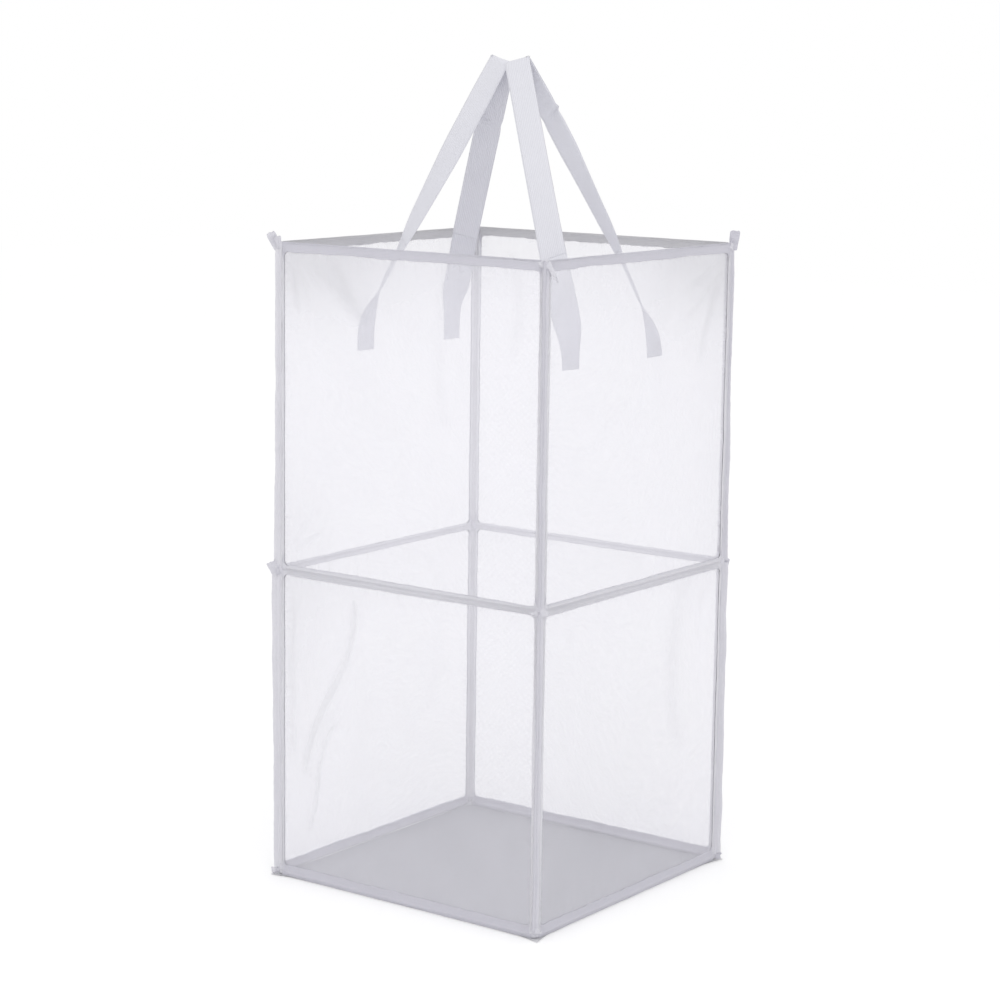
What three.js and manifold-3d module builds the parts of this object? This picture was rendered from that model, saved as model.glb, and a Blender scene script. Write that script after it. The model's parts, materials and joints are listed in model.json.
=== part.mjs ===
// A two tier pop up laundry hamper: spring wire hoops sewn into taped mesh panels, a cloth base
// and two webbing handles that lean in and meet over the mouth.
// Millimetres, +Z up. The origin is the middle of the underside of the base cloth.
// The front panel faces -Y, the right panel +X, the back panel +Y and the left panel -X.

import * as THREE from "three";
import { mergeVertices } from "three/addons/utils/BufferGeometryUtils.js";
import Module from "manifold-3d";

const wasm = await Module();
wasm.setup();

// Box
const hamperSide = 305;
const midHeight = 298;
const rimHeight = 604.5;
const contactGap = 0.3;
const cutOverrun = 5;

// Base cloth, drawn out to a small point at each corner
const baseThickness = 1.2;
const baseTipReach = 4;
const baseTipLength = 14;

// Binding tape folded over each hoop
const tapeWall = 0.5;
const tapeCornerRadius = 10;
const windowCornerRadius = 6;
const rimHem = 10;
const baseHem = 10;
const midHem = 4.2;
const sideHem = 4.2;

// Spring wire hoop and the sleeve crimped over its two ends
const wireThickness = 1.2;
const hoopEndGap = 1;
const sleeveOutside = 2.2;
const sleeveBore = 1.7;
const sleeveLength = 14;

// Rolled seam down each corner, which is what the box folds about
const seamThickness = 1.6;

// Tape tails left standing at the top corners
const tailWidth = 9;
const tailHeight = 12;
const tailThickness = 1.2;
const tailLean = 4;
const tailNotch = 3;

// Mesh panels and the depth of their folds
const meshThickness = 0.8;
const fanFoldDepth = 2.4;
const standingFoldDepth = 3;
const bellyDepth = 3;

// Webbing handles
const strapWidth = 25;
const strapThickness = 1.2;
const sewnLength = 34;
const strapPivotBelowRim = 76.5;
const gripHingeAboveRim = 15;
const crestAboveRim = 162.5;
const crestFromMiddle = 12;
const crestRounding = 10;
const farLegFromEdge = 42.5;
const legSpacing = 136;

// Counts and shares
const arcSegments = 2;
const roundSides = 12;
const foldedColumns = 12;
const plainColumns = 6;
const gripLegSteps = 24;
const crestSteps = 6;
const twistedSections = 5;
const fanFolds = 5;
const standingFolds = 4;
const standingBowShare = 0.09;
const standingReachShare = 0.6;
const twistStartShare = 0.03;
const twistEndShare = 0.4;

// Fits worked out from the sizes above
const pocketWidth = sleeveOutside + 2 * contactGap;
const tapeThickness = pocketWidth + 2 * tapeWall;
const wallCentre = (hamperSide - tapeThickness) / 2;
const pivotInset = tapeThickness / 2 + contactGap;
const seamClearRadius = seamThickness / 2 + contactGap;
const cornerSetback = pivotInset + Math.sqrt(seamClearRadius ** 2 - contactGap ** 2);
const cellWidth = 2 * (wallCentre - cornerSetback);
const hoopInset = tapeWall + contactGap + sleeveOutside / 2;
const meshInset = tapeWall + pocketWidth;
const strapPivotHeight = rimHeight - strapPivotBelowRim;
const strapEndBottom = strapPivotHeight - sewnLength;
const farLegOffset = hamperSide / 2 - farLegFromEdge;
const nearLegOffset = farLegOffset - legSpacing;
const strapFace = wallCentre - meshThickness / 2 - contactGap - strapThickness;
const strapReach = strapFace - crestFromMiddle;
const strapRise = strapPivotBelowRim + crestAboveRim;
const strapLean = Math.atan2(strapReach, strapRise);
const crestLevel = Math.hypot(strapReach, strapRise);
const gripHingeLevel = (rimHeight + gripHingeAboveRim - strapPivotHeight) / Math.cos(strapLean);

const quarterTurn = Math.PI / 2;

const tiers = {
  lower: {
    bottom: baseThickness + contactGap,
    top: midHeight - contactGap / 2,
    bottomHem: baseHem,
    topHem: midHem,
  },
  upper: {
    bottom: midHeight + contactGap / 2,
    top: rimHeight,
    bottomHem: midHem,
    topHem: rimHem,
  },
};

const sideTurns = { front: 0, right: quarterTurn, back: 2 * quarterTurn, left: -quarterTurn };
const cornerTurns = {
  front_left: 0,
  front_right: quarterTurn,
  back_right: 2 * quarterTurn,
  back_left: -quarterTurn,
};

function webbingMaterial() {
  return new THREE.MeshStandardMaterial({ color: 0xe2e1e9, roughness: 0.7, metalness: 0 });
}

function tapeMaterial() {
  return new THREE.MeshStandardMaterial({ color: 0xd4d4dd, roughness: 0.75, metalness: 0 });
}

function meshMaterial() {
  return new THREE.MeshStandardMaterial({
    color: 0xf1f0f6, roughness: 0.8, metalness: 0, transparent: true, opacity: 0.4,
  });
}

function baseMaterial() {
  return new THREE.MeshStandardMaterial({ color: 0xc6c6cd, roughness: 0.8, metalness: 0 });
}

function steelMaterial() {
  return new THREE.MeshStandardMaterial({ color: 0x8f9194, roughness: 0.35, metalness: 1 });
}

function named(name, geometry, material) {
  const mesh = new THREE.Mesh(geometry, material);
  mesh.name = name;
  return mesh;
}

// A closed geometry as a solid that can be cut and joined
function solidOf(geometry) {
  const bare = geometry.clone();
  bare.deleteAttribute("normal");
  bare.deleteAttribute("uv");
  const merged = mergeVertices(bare);
  return new wasm.Manifold(new wasm.Mesh({
    numProp: 3,
    vertProperties: new Float32Array(merged.attributes.position.array),
    triVerts: new Uint32Array(merged.index.array),
  }));
}

function geometryOf(solid) {
  const mesh = solid.getMesh();
  const geometry = new THREE.BufferGeometry();
  geometry.setAttribute("position", new THREE.BufferAttribute(mesh.vertProperties, 3));
  geometry.setIndex(new THREE.BufferAttribute(mesh.triVerts, 1));
  geometry.computeVertexNormals();
  return geometry;
}

// Stands a flat shape upright in the panel's plane, its thickness centred on the plane
function uprightPlate(shape, thickness) {
  const geometry = new THREE.ExtrudeGeometry(shape, {
    depth: thickness, bevelEnabled: false, curveSegments: arcSegments,
  });
  geometry.translate(0, 0, -thickness / 2);
  geometry.rotateX(quarterTurn);
  return geometry;
}

// Moves every point of a geometry to where the place function puts it
function reshaped(geometry, place) {
  const points = geometry.attributes.position;
  const point = new THREE.Vector3();
  for (let index = 0; index < points.count; index += 1) {
    const moved = place(point.fromBufferAttribute(points, index));
    points.setXYZ(index, moved.x, moved.y, moved.z);
  }
  geometry.computeVertexNormals();
  return geometry;
}

function roundedBox(left, right, bottom, top, radius) {
  const shape = new THREE.Shape();
  shape.moveTo(left + radius, bottom);
  shape.lineTo(right - radius, bottom);
  shape.absarc(right - radius, bottom + radius, radius, -quarterTurn, 0, false);
  shape.lineTo(right, top - radius);
  shape.absarc(right - radius, top - radius, radius, 0, quarterTurn, false);
  shape.lineTo(left + radius, top);
  shape.absarc(left + radius, top - radius, radius, quarterTurn, 2 * quarterTurn, false);
  shape.lineTo(left, bottom + radius);
  shape.absarc(left + radius, bottom + radius, radius, 2 * quarterTurn, 3 * quarterTurn, false);
  return shape;
}

// The outline of a cell, drawn in by an inset
function cellOutline(tier, inset) {
  const half = cellWidth / 2 - inset;
  return roundedBox(-half, half, tier.bottom + inset, tier.top - inset, tapeCornerRadius - inset);
}

// Folded tape all round a cell: a pocket for the wire, then two lips with the mesh between them
function cellTape(tier) {
  const pocket = cellOutline(tier, tapeWall);
  pocket.holes.push(cellOutline(tier, meshInset));
  const windowHalf = cellWidth / 2 - sideHem;
  const windowShape = roundedBox(
    -windowHalf, windowHalf, tier.bottom + tier.bottomHem, tier.top - tier.topHem, windowCornerRadius,
  );
  const lipSlot = meshThickness + 2 * contactGap;
  const band = solidOf(uprightPlate(cellOutline(tier, 0), tapeThickness))
    .subtract(solidOf(uprightPlate(pocket, pocketWidth)))
    .subtract(solidOf(uprightPlate(cellOutline(tier, meshInset - contactGap), lipSlot)))
    .subtract(solidOf(uprightPlate(windowShape, tapeThickness + cutOverrun)));
  return geometryOf(band);
}

// One wire bent round the cell, eight sided, its two ends facing each other in the sleeve
function hoopWire(tier) {
  const outer = cellOutline(tier, hoopInset - wireThickness / 2).extractPoints(arcSegments).shape;
  const inner = cellOutline(tier, hoopInset + wireThickness / 2).extractPoints(arcSegments).shape;
  const low = tier.bottom + hoopInset - wireThickness / 2;
  const high = low + wireThickness;
  const shape = new THREE.Shape([
    new THREE.Vector2(hoopEndGap / 2, low),
    ...fromRightOfBottom(outer),
    new THREE.Vector2(-hoopEndGap / 2, low),
    new THREE.Vector2(-hoopEndGap / 2, high),
    ...fromRightOfBottom(inner).reverse(),
    new THREE.Vector2(hoopEndGap / 2, high),
  ]);
  const chamfer = wireThickness * (1 - Math.SQRT1_2);
  const geometry = new THREE.ExtrudeGeometry(shape, {
    depth: wireThickness - 2 * chamfer,
    bevelThickness: chamfer,
    bevelSize: chamfer,
    bevelOffset: -chamfer,
    bevelSegments: 1,
  });
  geometry.translate(0, 0, chamfer - wireThickness / 2);
  geometry.rotateX(quarterTurn);
  return geometry;
}

// A rounded box's points, from the right end of its bottom side round to the left end
function fromRightOfBottom(points) {
  const closed = points.filter((point, index) => index === 0 || !point.equals(points[0]));
  return [...closed.slice(1), closed[0]];
}

function crimpSleeve(tier) {
  const ring = new THREE.Shape();
  ring.absarc(0, 0, sleeveOutside / 2, 0, 4 * quarterTurn, false);
  const bore = new THREE.Path();
  bore.absarc(0, 0, sleeveBore / 2, 0, 4 * quarterTurn, true);
  ring.holes.push(bore);
  const geometry = new THREE.ExtrudeGeometry(ring, {
    depth: sleeveLength, bevelEnabled: false, curveSegments: roundSides / 2,
  });
  geometry.translate(0, 0, -sleeveLength / 2);
  geometry.rotateY(quarterTurn);
  geometry.translate(0, 0, tier.bottom + hoopInset);
  return geometry;
}

// Rises from nothing at a share of 0 to one at the middle, and back to nothing at 1
function hump(share) {
  return share > 0 && share < 1 ? Math.sin(Math.PI * share) ** 2 : 0;
}

// Folds that fan out from the panel's top left corner
function fanFoldsAt(across, up) {
  const angle = Math.atan2(1 - up, across);
  return fanFoldDepth * Math.sin(2 * fanFolds * angle) * hump(across) * hump(up);
}

// Folds that stand up the left of the panel and bow to the right half way up
function standingFoldsAt(across, up) {
  const bowed = across - standingBowShare * Math.sin(Math.PI * up);
  const wave = Math.sin(2 * Math.PI * standingFolds * bowed);
  return standingFoldDepth * wave * hump(across / standingReachShare) * hump(up);
}

function bellyAt(across, up) {
  return bellyDepth * hump(across) * hump(up);
}

// The handle panels bulge only below the sewn ends of the webbing
function lowBellyAt(across, up) {
  const tier = tiers.upper;
  const calmShare = (strapEndBottom - tier.bottom) / (tier.top - tier.bottom);
  return bellyAt(across, up / calmShare);
}

const meshFolds = {
  front_lower: standingFoldsAt,
  front_upper: fanFoldsAt,
  left_upper: lowBellyAt,
  right_upper: lowBellyAt,
};

// A mesh sheet cut to the shape of the hoop, displaced outwards by its folds
function meshSheet(tier, foldAt, columns) {
  const width = cellWidth - 2 * meshInset;
  const height = tier.top - tier.bottom - 2 * meshInset;
  const sheet = reshaped(
    new THREE.BoxGeometry(width, meshThickness, height, columns, 1, columns),
    (point) => {
      point.y -= foldAt(point.x / width + 1 / 2, point.z / height + 1 / 2);
      point.z += (tier.bottom + tier.top) / 2;
      return point;
    },
  );
  const outline = uprightPlate(cellOutline(tier, meshInset), tapeThickness + cutOverrun);
  return geometryOf(solidOf(sheet).intersect(solidOf(outline)));
}

// One cell of a side: its hoop, crimp sleeve, folded tape and mesh
function cell(sideName, tierName) {
  const tier = tiers[tierName];
  const name = `${sideName}_${tierName}`;
  const foldAt = meshFolds[name] ?? bellyAt;
  const folded = foldAt === fanFoldsAt || foldAt === standingFoldsAt;
  const columns = folded ? foldedColumns : plainColumns;
  const group = new THREE.Group();
  group.add(
    named(`${name}_hoop`, hoopWire(tier), steelMaterial()),
    named(`${name}_crimp_sleeve`, crimpSleeve(tier), steelMaterial()),
    named(`${name}_tape`, cellTape(tier), tapeMaterial()),
    named(`${name}_mesh`, meshSheet(tier, foldAt, columns), meshMaterial()),
  );
  return group;
}

function side(sideName, turn) {
  const group = new THREE.Group();
  group.rotation.z = turn;
  for (const tierName of Object.keys(tiers)) {
    const placed = cell(sideName, tierName);
    placed.position.y = -wallCentre;
    group.add(placed);
  }
  return group;
}

function cornerSeam(tier) {
  const height = tier.top - tier.bottom;
  const geometry = new THREE.CylinderGeometry(
    seamThickness / 2, seamThickness / 2, height, roundSides,
  );
  geometry.rotateX(quarterTurn);
  geometry.translate(0, 0, tier.bottom + height / 2);
  return geometry;
}

// A crumpled tape end that stands above the corner and leans outwards
function tapeTail() {
  const half = tailWidth / 2;
  const shape = new THREE.Shape([
    new THREE.Vector2(-half, 0),
    new THREE.Vector2(half, 0),
    new THREE.Vector2(half - tailNotch, tailHeight / 2),
    new THREE.Vector2(half - tailNotch, tailHeight - tailNotch),
    new THREE.Vector2(-tailNotch, tailHeight - tailNotch),
    new THREE.Vector2(-half - tailLean, tailHeight),
  ]);
  const geometry = uprightPlate(shape, tailThickness);
  geometry.translate(0, 0, rimHeight + contactGap);
  return geometry;
}

// The seams and the tail of one corner, drawn at the front left and turned into place
function corner(cornerName, turn) {
  const post = new THREE.Group();
  const offset = wallCentre - pivotInset;
  post.position.set(-offset, -offset, 0);
  for (const [tierName, tier] of Object.entries(tiers)) {
    post.add(named(`${cornerName}_${tierName}_seam`, cornerSeam(tier), tapeMaterial()));
  }
  const tail = named(`${cornerName}_tape_tail`, tapeTail(), tapeMaterial());
  tail.rotation.z = quarterTurn / 2;
  post.add(tail);
  const group = new THREE.Group();
  group.rotation.z = turn;
  group.add(post);
  return group;
}

// A square of cloth whose corners are drawn out to points
function baseCloth() {
  const half = hamperSide / 2;
  const shoulder = half - baseTipLength;
  const tip = half + baseTipReach;
  const points = [];
  for (let turn = 0; turn < 4; turn += 1) {
    const cornerPoints = [[half, shoulder], [tip, tip], [shoulder, half]];
    for (const [x, y] of cornerPoints) {
      points.push(new THREE.Vector2(x, y).rotateAround(new THREE.Vector2(), turn * quarterTurn));
    }
  }
  return new THREE.ExtrudeGeometry(new THREE.Shape(points), {
    depth: baseThickness, bevelEnabled: false,
  });
}

// A point of a handle leg in the leaning plane: both legs aim at one point above the crest
function legPoint(offset, level) {
  const share = level / (crestLevel + crestRounding);
  return new THREE.Vector3(-strapThickness / 2, offset * (1 - share), level);
}

// The section of webbing at a point of its path: across its width and through its thickness
function strapRing(centre, along, twist) {
  const flat = new THREE.Vector3(0, -along.z, along.y);
  const across = flat.multiplyScalar(Math.cos(twist)).add(new THREE.Vector3(Math.sin(twist), 0, 0));
  const through = along.clone().cross(across);
  return { centre, along, across, through };
}

// Webbing swept through its rings in sections side by side, both ends cut level
function strapGeometry(rings, sections) {
  const steps = rings.length - 1;
  return reshaped(new THREE.BoxGeometry(1, 1, 1, sections, 1, steps), (point) => {
    const index = Math.round((point.z + 1 / 2) * steps);
    const ring = rings[index];
    const moved = ring.centre.clone()
      .addScaledVector(ring.across, strapWidth * point.x)
      .addScaledVector(ring.through, strapThickness * point.y);
    if (index === 0 || index === steps) {
      moved.addScaledVector(ring.along, (ring.centre.z - moved.z) / ring.along.z);
    }
    return moved;
  });
}

function lowerStrap(offset) {
  const foot = legPoint(offset, contactGap / 2);
  const head = legPoint(offset, gripHingeLevel - contactGap / 2);
  const along = head.clone().sub(foot).normalize();
  return strapGeometry([strapRing(foot, along, 0), strapRing(head, along, 0)], 1);
}

// How far the webbing has turned edge on at a level of the grip
function gripTwist(level, footLevel, headLevel) {
  const start = THREE.MathUtils.lerp(footLevel, headLevel, twistStartShare);
  const end = THREE.MathUtils.lerp(footLevel, headLevel, twistEndShare);
  return quarterTurn * THREE.MathUtils.smoothstep(level, start, end);
}

// The carrying loop: up the near leg, over the crest and down the far leg
function gripLoop() {
  const footLevel = gripHingeLevel + contactGap / 2;
  const headLevel = crestLevel - crestRounding;
  const peak = legPoint(0, crestLevel + crestRounding);
  const nearHead = legPoint(nearLegOffset, headLevel);
  const farHead = legPoint(farLegOffset, headLevel);
  const runs = [
    [new THREE.LineCurve3(legPoint(nearLegOffset, footLevel), nearHead), gripLegSteps],
    [new THREE.QuadraticBezierCurve3(nearHead, peak, farHead), crestSteps],
    [new THREE.LineCurve3(farHead, legPoint(farLegOffset, footLevel)), gripLegSteps],
  ];
  const rings = [];
  for (const [curve, steps] of runs) {
    for (let step = rings.length ? 1 : 0; step <= steps; step += 1) {
      const centre = curve.getPoint(step / steps);
      const twist = gripTwist(centre.z, footLevel, headLevel);
      rings.push(strapRing(centre, curve.getTangent(step / steps), twist));
    }
  }
  return strapGeometry(rings, twistedSections);
}

function sewnEnd(offset) {
  const top = strapPivotHeight - contactGap / 2;
  const geometry = new THREE.BoxGeometry(strapThickness, strapWidth, top - strapEndBottom);
  geometry.translate(-strapFace - strapThickness / 2, offset, (top + strapEndBottom) / 2);
  return geometry;
}

// A handle drawn on the left panel: sewn ends, the straps that lean in from them, and the grip
function handle(name, turn, legNames) {
  const leaning = new THREE.Group();
  leaning.position.set(-strapFace, 0, strapPivotHeight);
  leaning.rotation.y = strapLean;
  const group = new THREE.Group();
  group.rotation.z = turn;
  group.add(leaning);
  for (const [legName, offset] of Object.entries(legNames)) {
    group.add(named(`${name}_handle_${legName}_end`, sewnEnd(offset), webbingMaterial()));
    leaning.add(named(`${name}_handle_${legName}_strap`, lowerStrap(offset), webbingMaterial()));
  }
  leaning.add(named(`${name}_handle_grip`, gripLoop(), webbingMaterial()));
  return group;
}

const hamper = new THREE.Group();
hamper.add(named("base_cloth", baseCloth(), baseMaterial()));
for (const [sideName, turn] of Object.entries(sideTurns)) {
  hamper.add(side(sideName, turn));
}
for (const [cornerName, turn] of Object.entries(cornerTurns)) {
  hamper.add(corner(cornerName, turn));
}
hamper.add(handle("left", 0, { front: nearLegOffset, back: farLegOffset }));
hamper.add(handle("right", 2 * quarterTurn, { back: nearLegOffset, front: farLegOffset }));

export default hamper;
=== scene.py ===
"""A pop up laundry hamper of sheer mesh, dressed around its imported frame.

Every size is in metres. The hamper stands on its cloth base at the origin, +Z up, its front panel
facing -Y and its right panel facing +X.
"""

import json
import math

import bmesh
import bpy
import numpy as np
from bpy.props import FloatProperty, FloatVectorProperty, PointerProperty
from mathutils import Matrix, Vector


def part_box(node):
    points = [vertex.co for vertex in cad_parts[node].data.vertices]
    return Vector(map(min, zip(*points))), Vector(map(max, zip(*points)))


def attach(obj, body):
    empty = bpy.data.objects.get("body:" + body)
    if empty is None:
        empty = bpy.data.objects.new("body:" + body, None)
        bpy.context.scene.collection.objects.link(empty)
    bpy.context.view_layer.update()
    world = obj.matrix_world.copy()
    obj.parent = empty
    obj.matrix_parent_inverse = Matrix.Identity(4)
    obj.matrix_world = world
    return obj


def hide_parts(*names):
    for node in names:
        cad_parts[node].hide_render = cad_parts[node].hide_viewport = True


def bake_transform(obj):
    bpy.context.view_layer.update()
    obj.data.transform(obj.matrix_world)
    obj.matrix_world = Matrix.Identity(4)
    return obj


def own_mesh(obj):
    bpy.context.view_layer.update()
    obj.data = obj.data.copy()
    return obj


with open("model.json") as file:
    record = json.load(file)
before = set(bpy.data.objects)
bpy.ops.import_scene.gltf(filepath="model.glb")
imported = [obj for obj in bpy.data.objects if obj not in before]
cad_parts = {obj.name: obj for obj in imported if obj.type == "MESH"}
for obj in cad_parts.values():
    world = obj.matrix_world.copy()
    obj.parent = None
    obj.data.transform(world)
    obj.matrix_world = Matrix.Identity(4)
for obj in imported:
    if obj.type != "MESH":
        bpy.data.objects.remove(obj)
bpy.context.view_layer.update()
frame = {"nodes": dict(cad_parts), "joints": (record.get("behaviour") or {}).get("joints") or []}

bl_info = {
    "name": "Pop up laundry hamper",
    "version": (1, 0, 0),
    "blender": (4, 5, 0),
    "location": "View3D > Sidebar > Hamper",
    "description": "Builds the mesh, tape, seams, base and handles of a pop up hamper round its frame",
    "category": "Object",
}

MM = 0.001

# What the frame itself gives: joints by name, and the reach of a few nodes
JOINTS = {joint["name"]: joint for joint in frame["joints"]}
PIVOT = abs(JOINTS["fold"]["pos_m"][0])
LOW_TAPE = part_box("front_lower_tape")
HIGH_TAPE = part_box("front_upper_tape")
WALL = -(HIGH_TAPE[0].y + HIGH_TAPE[1].y) / 2
CELL_HALF = HIGH_TAPE[1].x
RIM = HIGH_TAPE[1].z
MIDDLE = (LOW_TAPE[1].z + HIGH_TAPE[0].z) / 2
STRAP_PIVOT = Vector(JOINTS["left_strap_lean"]["pos_m"])
GRIP_PIVOT = Vector(JOINTS["left_grip_swing"]["pos_m"])
SEWN_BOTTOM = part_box("left_handle_front_end")[0].z

SIDES = {"front": 0.0, "right": math.pi / 2, "back": math.pi, "left": -math.pi / 2}
TIERS = ("lower", "upper")
CELLS = [(side, tier) for side in SIDES for tier in TIERS]
# Each corner is drawn at the front left and turned into place by its angle, and names two bodies. At
# the corner where the ring of panels is open, its pieces ride on one of them.
CORNERS = {
    "front_left": (0.0, ("front", "left")),
    "front_right": (math.pi / 2, ("right", "front")),
    "back_right": (math.pi, ("back", "right")),
    "back_left": (-math.pi / 2, ("left", "back")),
}
OPEN_CORNER = "back_right"


# ---------------------------------------------------------------- numbers


def smooth(share):
    """Rises from 0 to 1 as the share does, level at both ends: 3 x squared minus 2 x cubed."""
    share = np.clip(share, 0, 1)
    return share * share * (3 - 2 * share)


def hump(share):
    """Nothing at a share of 0, one at the middle and nothing at 1: the sine of pi x, squared."""
    return np.sin(np.pi * np.clip(share, 0, 1)) ** 2


def ripple(seed, turn, counts):
    """A random wave round a closed path: sines of whole counts with seeded phases, about one high."""
    draw = np.random.default_rng(seed)
    total = np.zeros_like(turn)
    for count in counts:
        total += draw.uniform(0.5, 1) * np.sin(count * turn + draw.uniform(0, 2 * np.pi))
    return total / math.sqrt(len(counts))


def crumple(seed, across, up, shortest, longest, waves):
    """A random crumpled surface: plane waves of seeded direction, length and phase, about one high."""
    draw = np.random.default_rng(seed)
    total = np.zeros(np.broadcast(across, up).shape)
    for _ in range(waves):
        heading = draw.uniform(0, np.pi)
        number = 2 * np.pi / math.exp(draw.uniform(math.log(shortest), math.log(longest)))
        phase = draw.uniform(0, 2 * np.pi)
        total += np.sin(number * (across * math.cos(heading) + up * math.sin(heading)) + phase)
    return total / math.sqrt(waves)


def waver(seed, run, shortest, longest, waves):
    """The crumpled surface read along a single line."""
    return crumple(seed, run, 0 * run, shortest, longest, waves)


def ridges(seed, across, up, shortest, longest, waves):
    """Sharp creases: one minus twice the size of a crumpled surface, so that its zero lines stand up."""
    return 1 - 2 * np.minimum(np.abs(crumple(seed, across, up, shortest, longest, waves)), 1)


def unit(vectors):
    """Vectors brought to a length of one."""
    return vectors / np.linalg.norm(vectors, axis=-1, keepdims=True)


def turned(points, angle):
    """Points turned about the Z axis: x cos - y sin, x sin + y cos, z kept."""
    cosine, sine = math.cos(angle), math.sin(angle)
    x, y, z = points[..., 0], points[..., 1], points[..., 2]
    return np.stack([x * cosine - y * sine, x * sine + y * cosine, z], -1)


def on_panel(side, along, out, up):
    """Points of a side: along it, out from the middle of the hamper, and up, turned to that side."""
    along, out, up = np.broadcast_arrays(along, out, up)
    return turned(np.stack([along, -out, up], -1), SIDES[side])


def from_corner(corner, out, beside, up):
    """Millimetres outwards, sideways and up from a corner's fold line, as points of the hamper. The
    corner is drawn at the front left, where outwards is -X -Y and sideways is +X -Y."""
    diagonal = math.sqrt(0.5) * MM
    x, y = -PIVOT + (beside - out) * diagonal, -PIVOT - (beside + out) * diagonal
    return turned(np.stack(np.broadcast_arrays(x, y, up * MM), -1), CORNERS[corner][0])


def distances(points):
    """How far along its path each point lies: the running sum of the steps between them."""
    steps = np.linalg.norm(np.diff(points, axis=0), axis=-1)
    return np.concatenate([[0], np.cumsum(steps)])


def closed_path(path):
    """A path whose first point is added at its end."""
    return np.concatenate([path, path[:1]])


def at_distance(path, at):
    """The points of a flat path at the given distances along it."""
    walk = distances(path)
    return np.stack([np.interp(at, walk, path[:, axis]) for axis in (0, 1)], -1)


def spaced(path, pitch):
    """Distances along a path, evenly apart by about the pitch."""
    length = distances(path)[-1]
    number = int(length / pitch)
    return (np.arange(number) + 0.5) * length / number


# ---------------------------------------------------------------- meshes


def new_piece(name, points, faces):
    """Links a smooth mesh into the scene as an object at the origin."""
    mesh = bpy.data.meshes.new(name)
    mesh.from_pydata(np.reshape(points, (-1, 3)), [], faces)
    mesh.polygons.foreach_set("use_smooth", np.ones(len(mesh.polygons), bool))
    mesh.update()
    piece = bpy.data.objects.new(name, mesh)
    bpy.context.scene.collection.objects.link(piece)
    return piece


def surface(name, points, marks, closed=(False, False), capped=False, shade=None):
    """A mesh object from a grid of points, rows by columns by 3.

    marks holds the UV map's two coordinates in metres, one more row or column than the points where
    the grid is closed. capped shuts both ends of a tube, and shade, the piece's painted light and shade,
    is kept as an attribute."""
    rows, columns = points.shape[:2]
    row, column = np.meshgrid(
        np.arange(rows if closed[0] else rows - 1), np.arange(columns if closed[1] else columns - 1),
        indexing="ij",
    )
    row = np.stack([row, row, row + 1, row + 1], -1).reshape(-1, 4)
    column = np.stack([column, column + 1, column + 1, column], -1).reshape(-1, 4)
    faces = ((row % rows) * columns + column % columns).tolist()
    corner_marks = [marks[row.ravel(), column.ravel()]]
    if capped:
        ring = np.arange(columns)
        for end, level in ((ring[::-1], 0), ((rows - 1) * columns + ring, -1)):
            faces.append(end.tolist())
            corner_marks.append(marks[level][end % columns])
    piece = new_piece(name, points, faces)
    layer = piece.data.uv_layers.new(name="metres")
    layer.data.foreach_set("uv", np.concatenate(corner_marks).astype(np.float32).ravel())
    if shade is not None:
        kept = piece.data.attributes.new("shade", "FLOAT", "POINT")
        shades = np.broadcast_to(shade, points.shape[:2])
        kept.data.foreach_set("value", shades.astype(np.float32).ravel())
    if capped:
        for end in piece.data.polygons[-2:]:
            end.use_smooth = False
    return piece


def outward(piece):
    """Turns the faces of a closed shell outwards."""
    shell = bmesh.new()
    shell.from_mesh(piece.data)
    bmesh.ops.recalc_face_normals(shell, faces=shell.faces)
    shell.to_mesh(piece.data)
    shell.free()
    return piece


def marks_of(girth, seam, along):
    """A UV map of distances: round the girth, which the seam closes, by along the rows."""
    grid = np.meshgrid(along, np.append(girth, girth[-1] + seam), indexing="ij")
    return np.stack([grid[1], grid[0]], -1)


def tube(name, points, girth, along, seam=MM, shade=None):
    """A closed tube of rings of points, shut at both ends, its faces outwards."""
    marks = marks_of(girth, seam, along)
    return outward(surface(name, points, marks, (False, True), capped=True, shade=shade))


def stitches(name, centres, along, normal, length, thickness):
    """Raised stitches: at each centre a low bead, its two rings of five points closed by a point at
    each end, drawn out along the seam."""
    each = np.arange(5)
    turn = (each * 2 * np.pi / 5)[:, None]
    along, normal = unit(along), unit(normal)
    beside = np.cross(normal, along)
    ring = (beside[:, None] * np.cos(turn) + normal[:, None] * np.sin(turn)) * (thickness / 2)
    middle, reach = centres[:, None], along[:, None] * (length / 2)
    points = np.concatenate(
        [middle - reach, middle - reach * 0.7 + ring, middle + reach * 0.7 + ring, middle + reach], 1
    )
    after, tip = (each + 1) % 5, np.zeros(5, int)
    parts = (
        np.stack([each + 1, after + 1, after + 6, each + 6], -1),
        np.stack([tip, after + 1, each + 1], -1),
        np.stack([tip + 11, each + 6, after + 6], -1),
    )
    starts = (np.arange(len(centres)) * points.shape[1])[:, None, None]
    faces = []
    for part in parts:
        faces += (part[None] + starts).reshape(-1, part.shape[1]).tolist()
    return outward(new_piece(name, points, faces))


# ---------------------------------------------------------------- materials

FLOAT, VECTOR, COLOR = "NodeSocketFloat", "NodeSocketVector", "NodeSocketColor"


def put(tree, kind, inputs=None, **settings):
    """Adds a node, sets it, and links or fills its inputs."""
    made = tree.nodes.new(kind)
    for key, value in settings.items():
        setattr(made, key, value)
    for key, value in (inputs or {}).items():
        if isinstance(value, bpy.types.NodeSocket):
            tree.links.new(value, made.inputs[key])
        else:
            made.inputs[key].default_value = value
    return made


def maths(tree, operation, *values):
    """The output of a Math node fed with numbers or sockets."""
    return put(tree, "ShaderNodeMath", dict(enumerate(values)), operation=operation).outputs[0]


def wave_across(tree, value, pitch):
    """The sine of a coordinate, one half wave to each pitch."""
    turns = maths(tree, "DIVIDE", value, pitch)
    return maths(tree, "SINE", maths(tree, "MULTIPLY", turns, math.pi))


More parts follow.
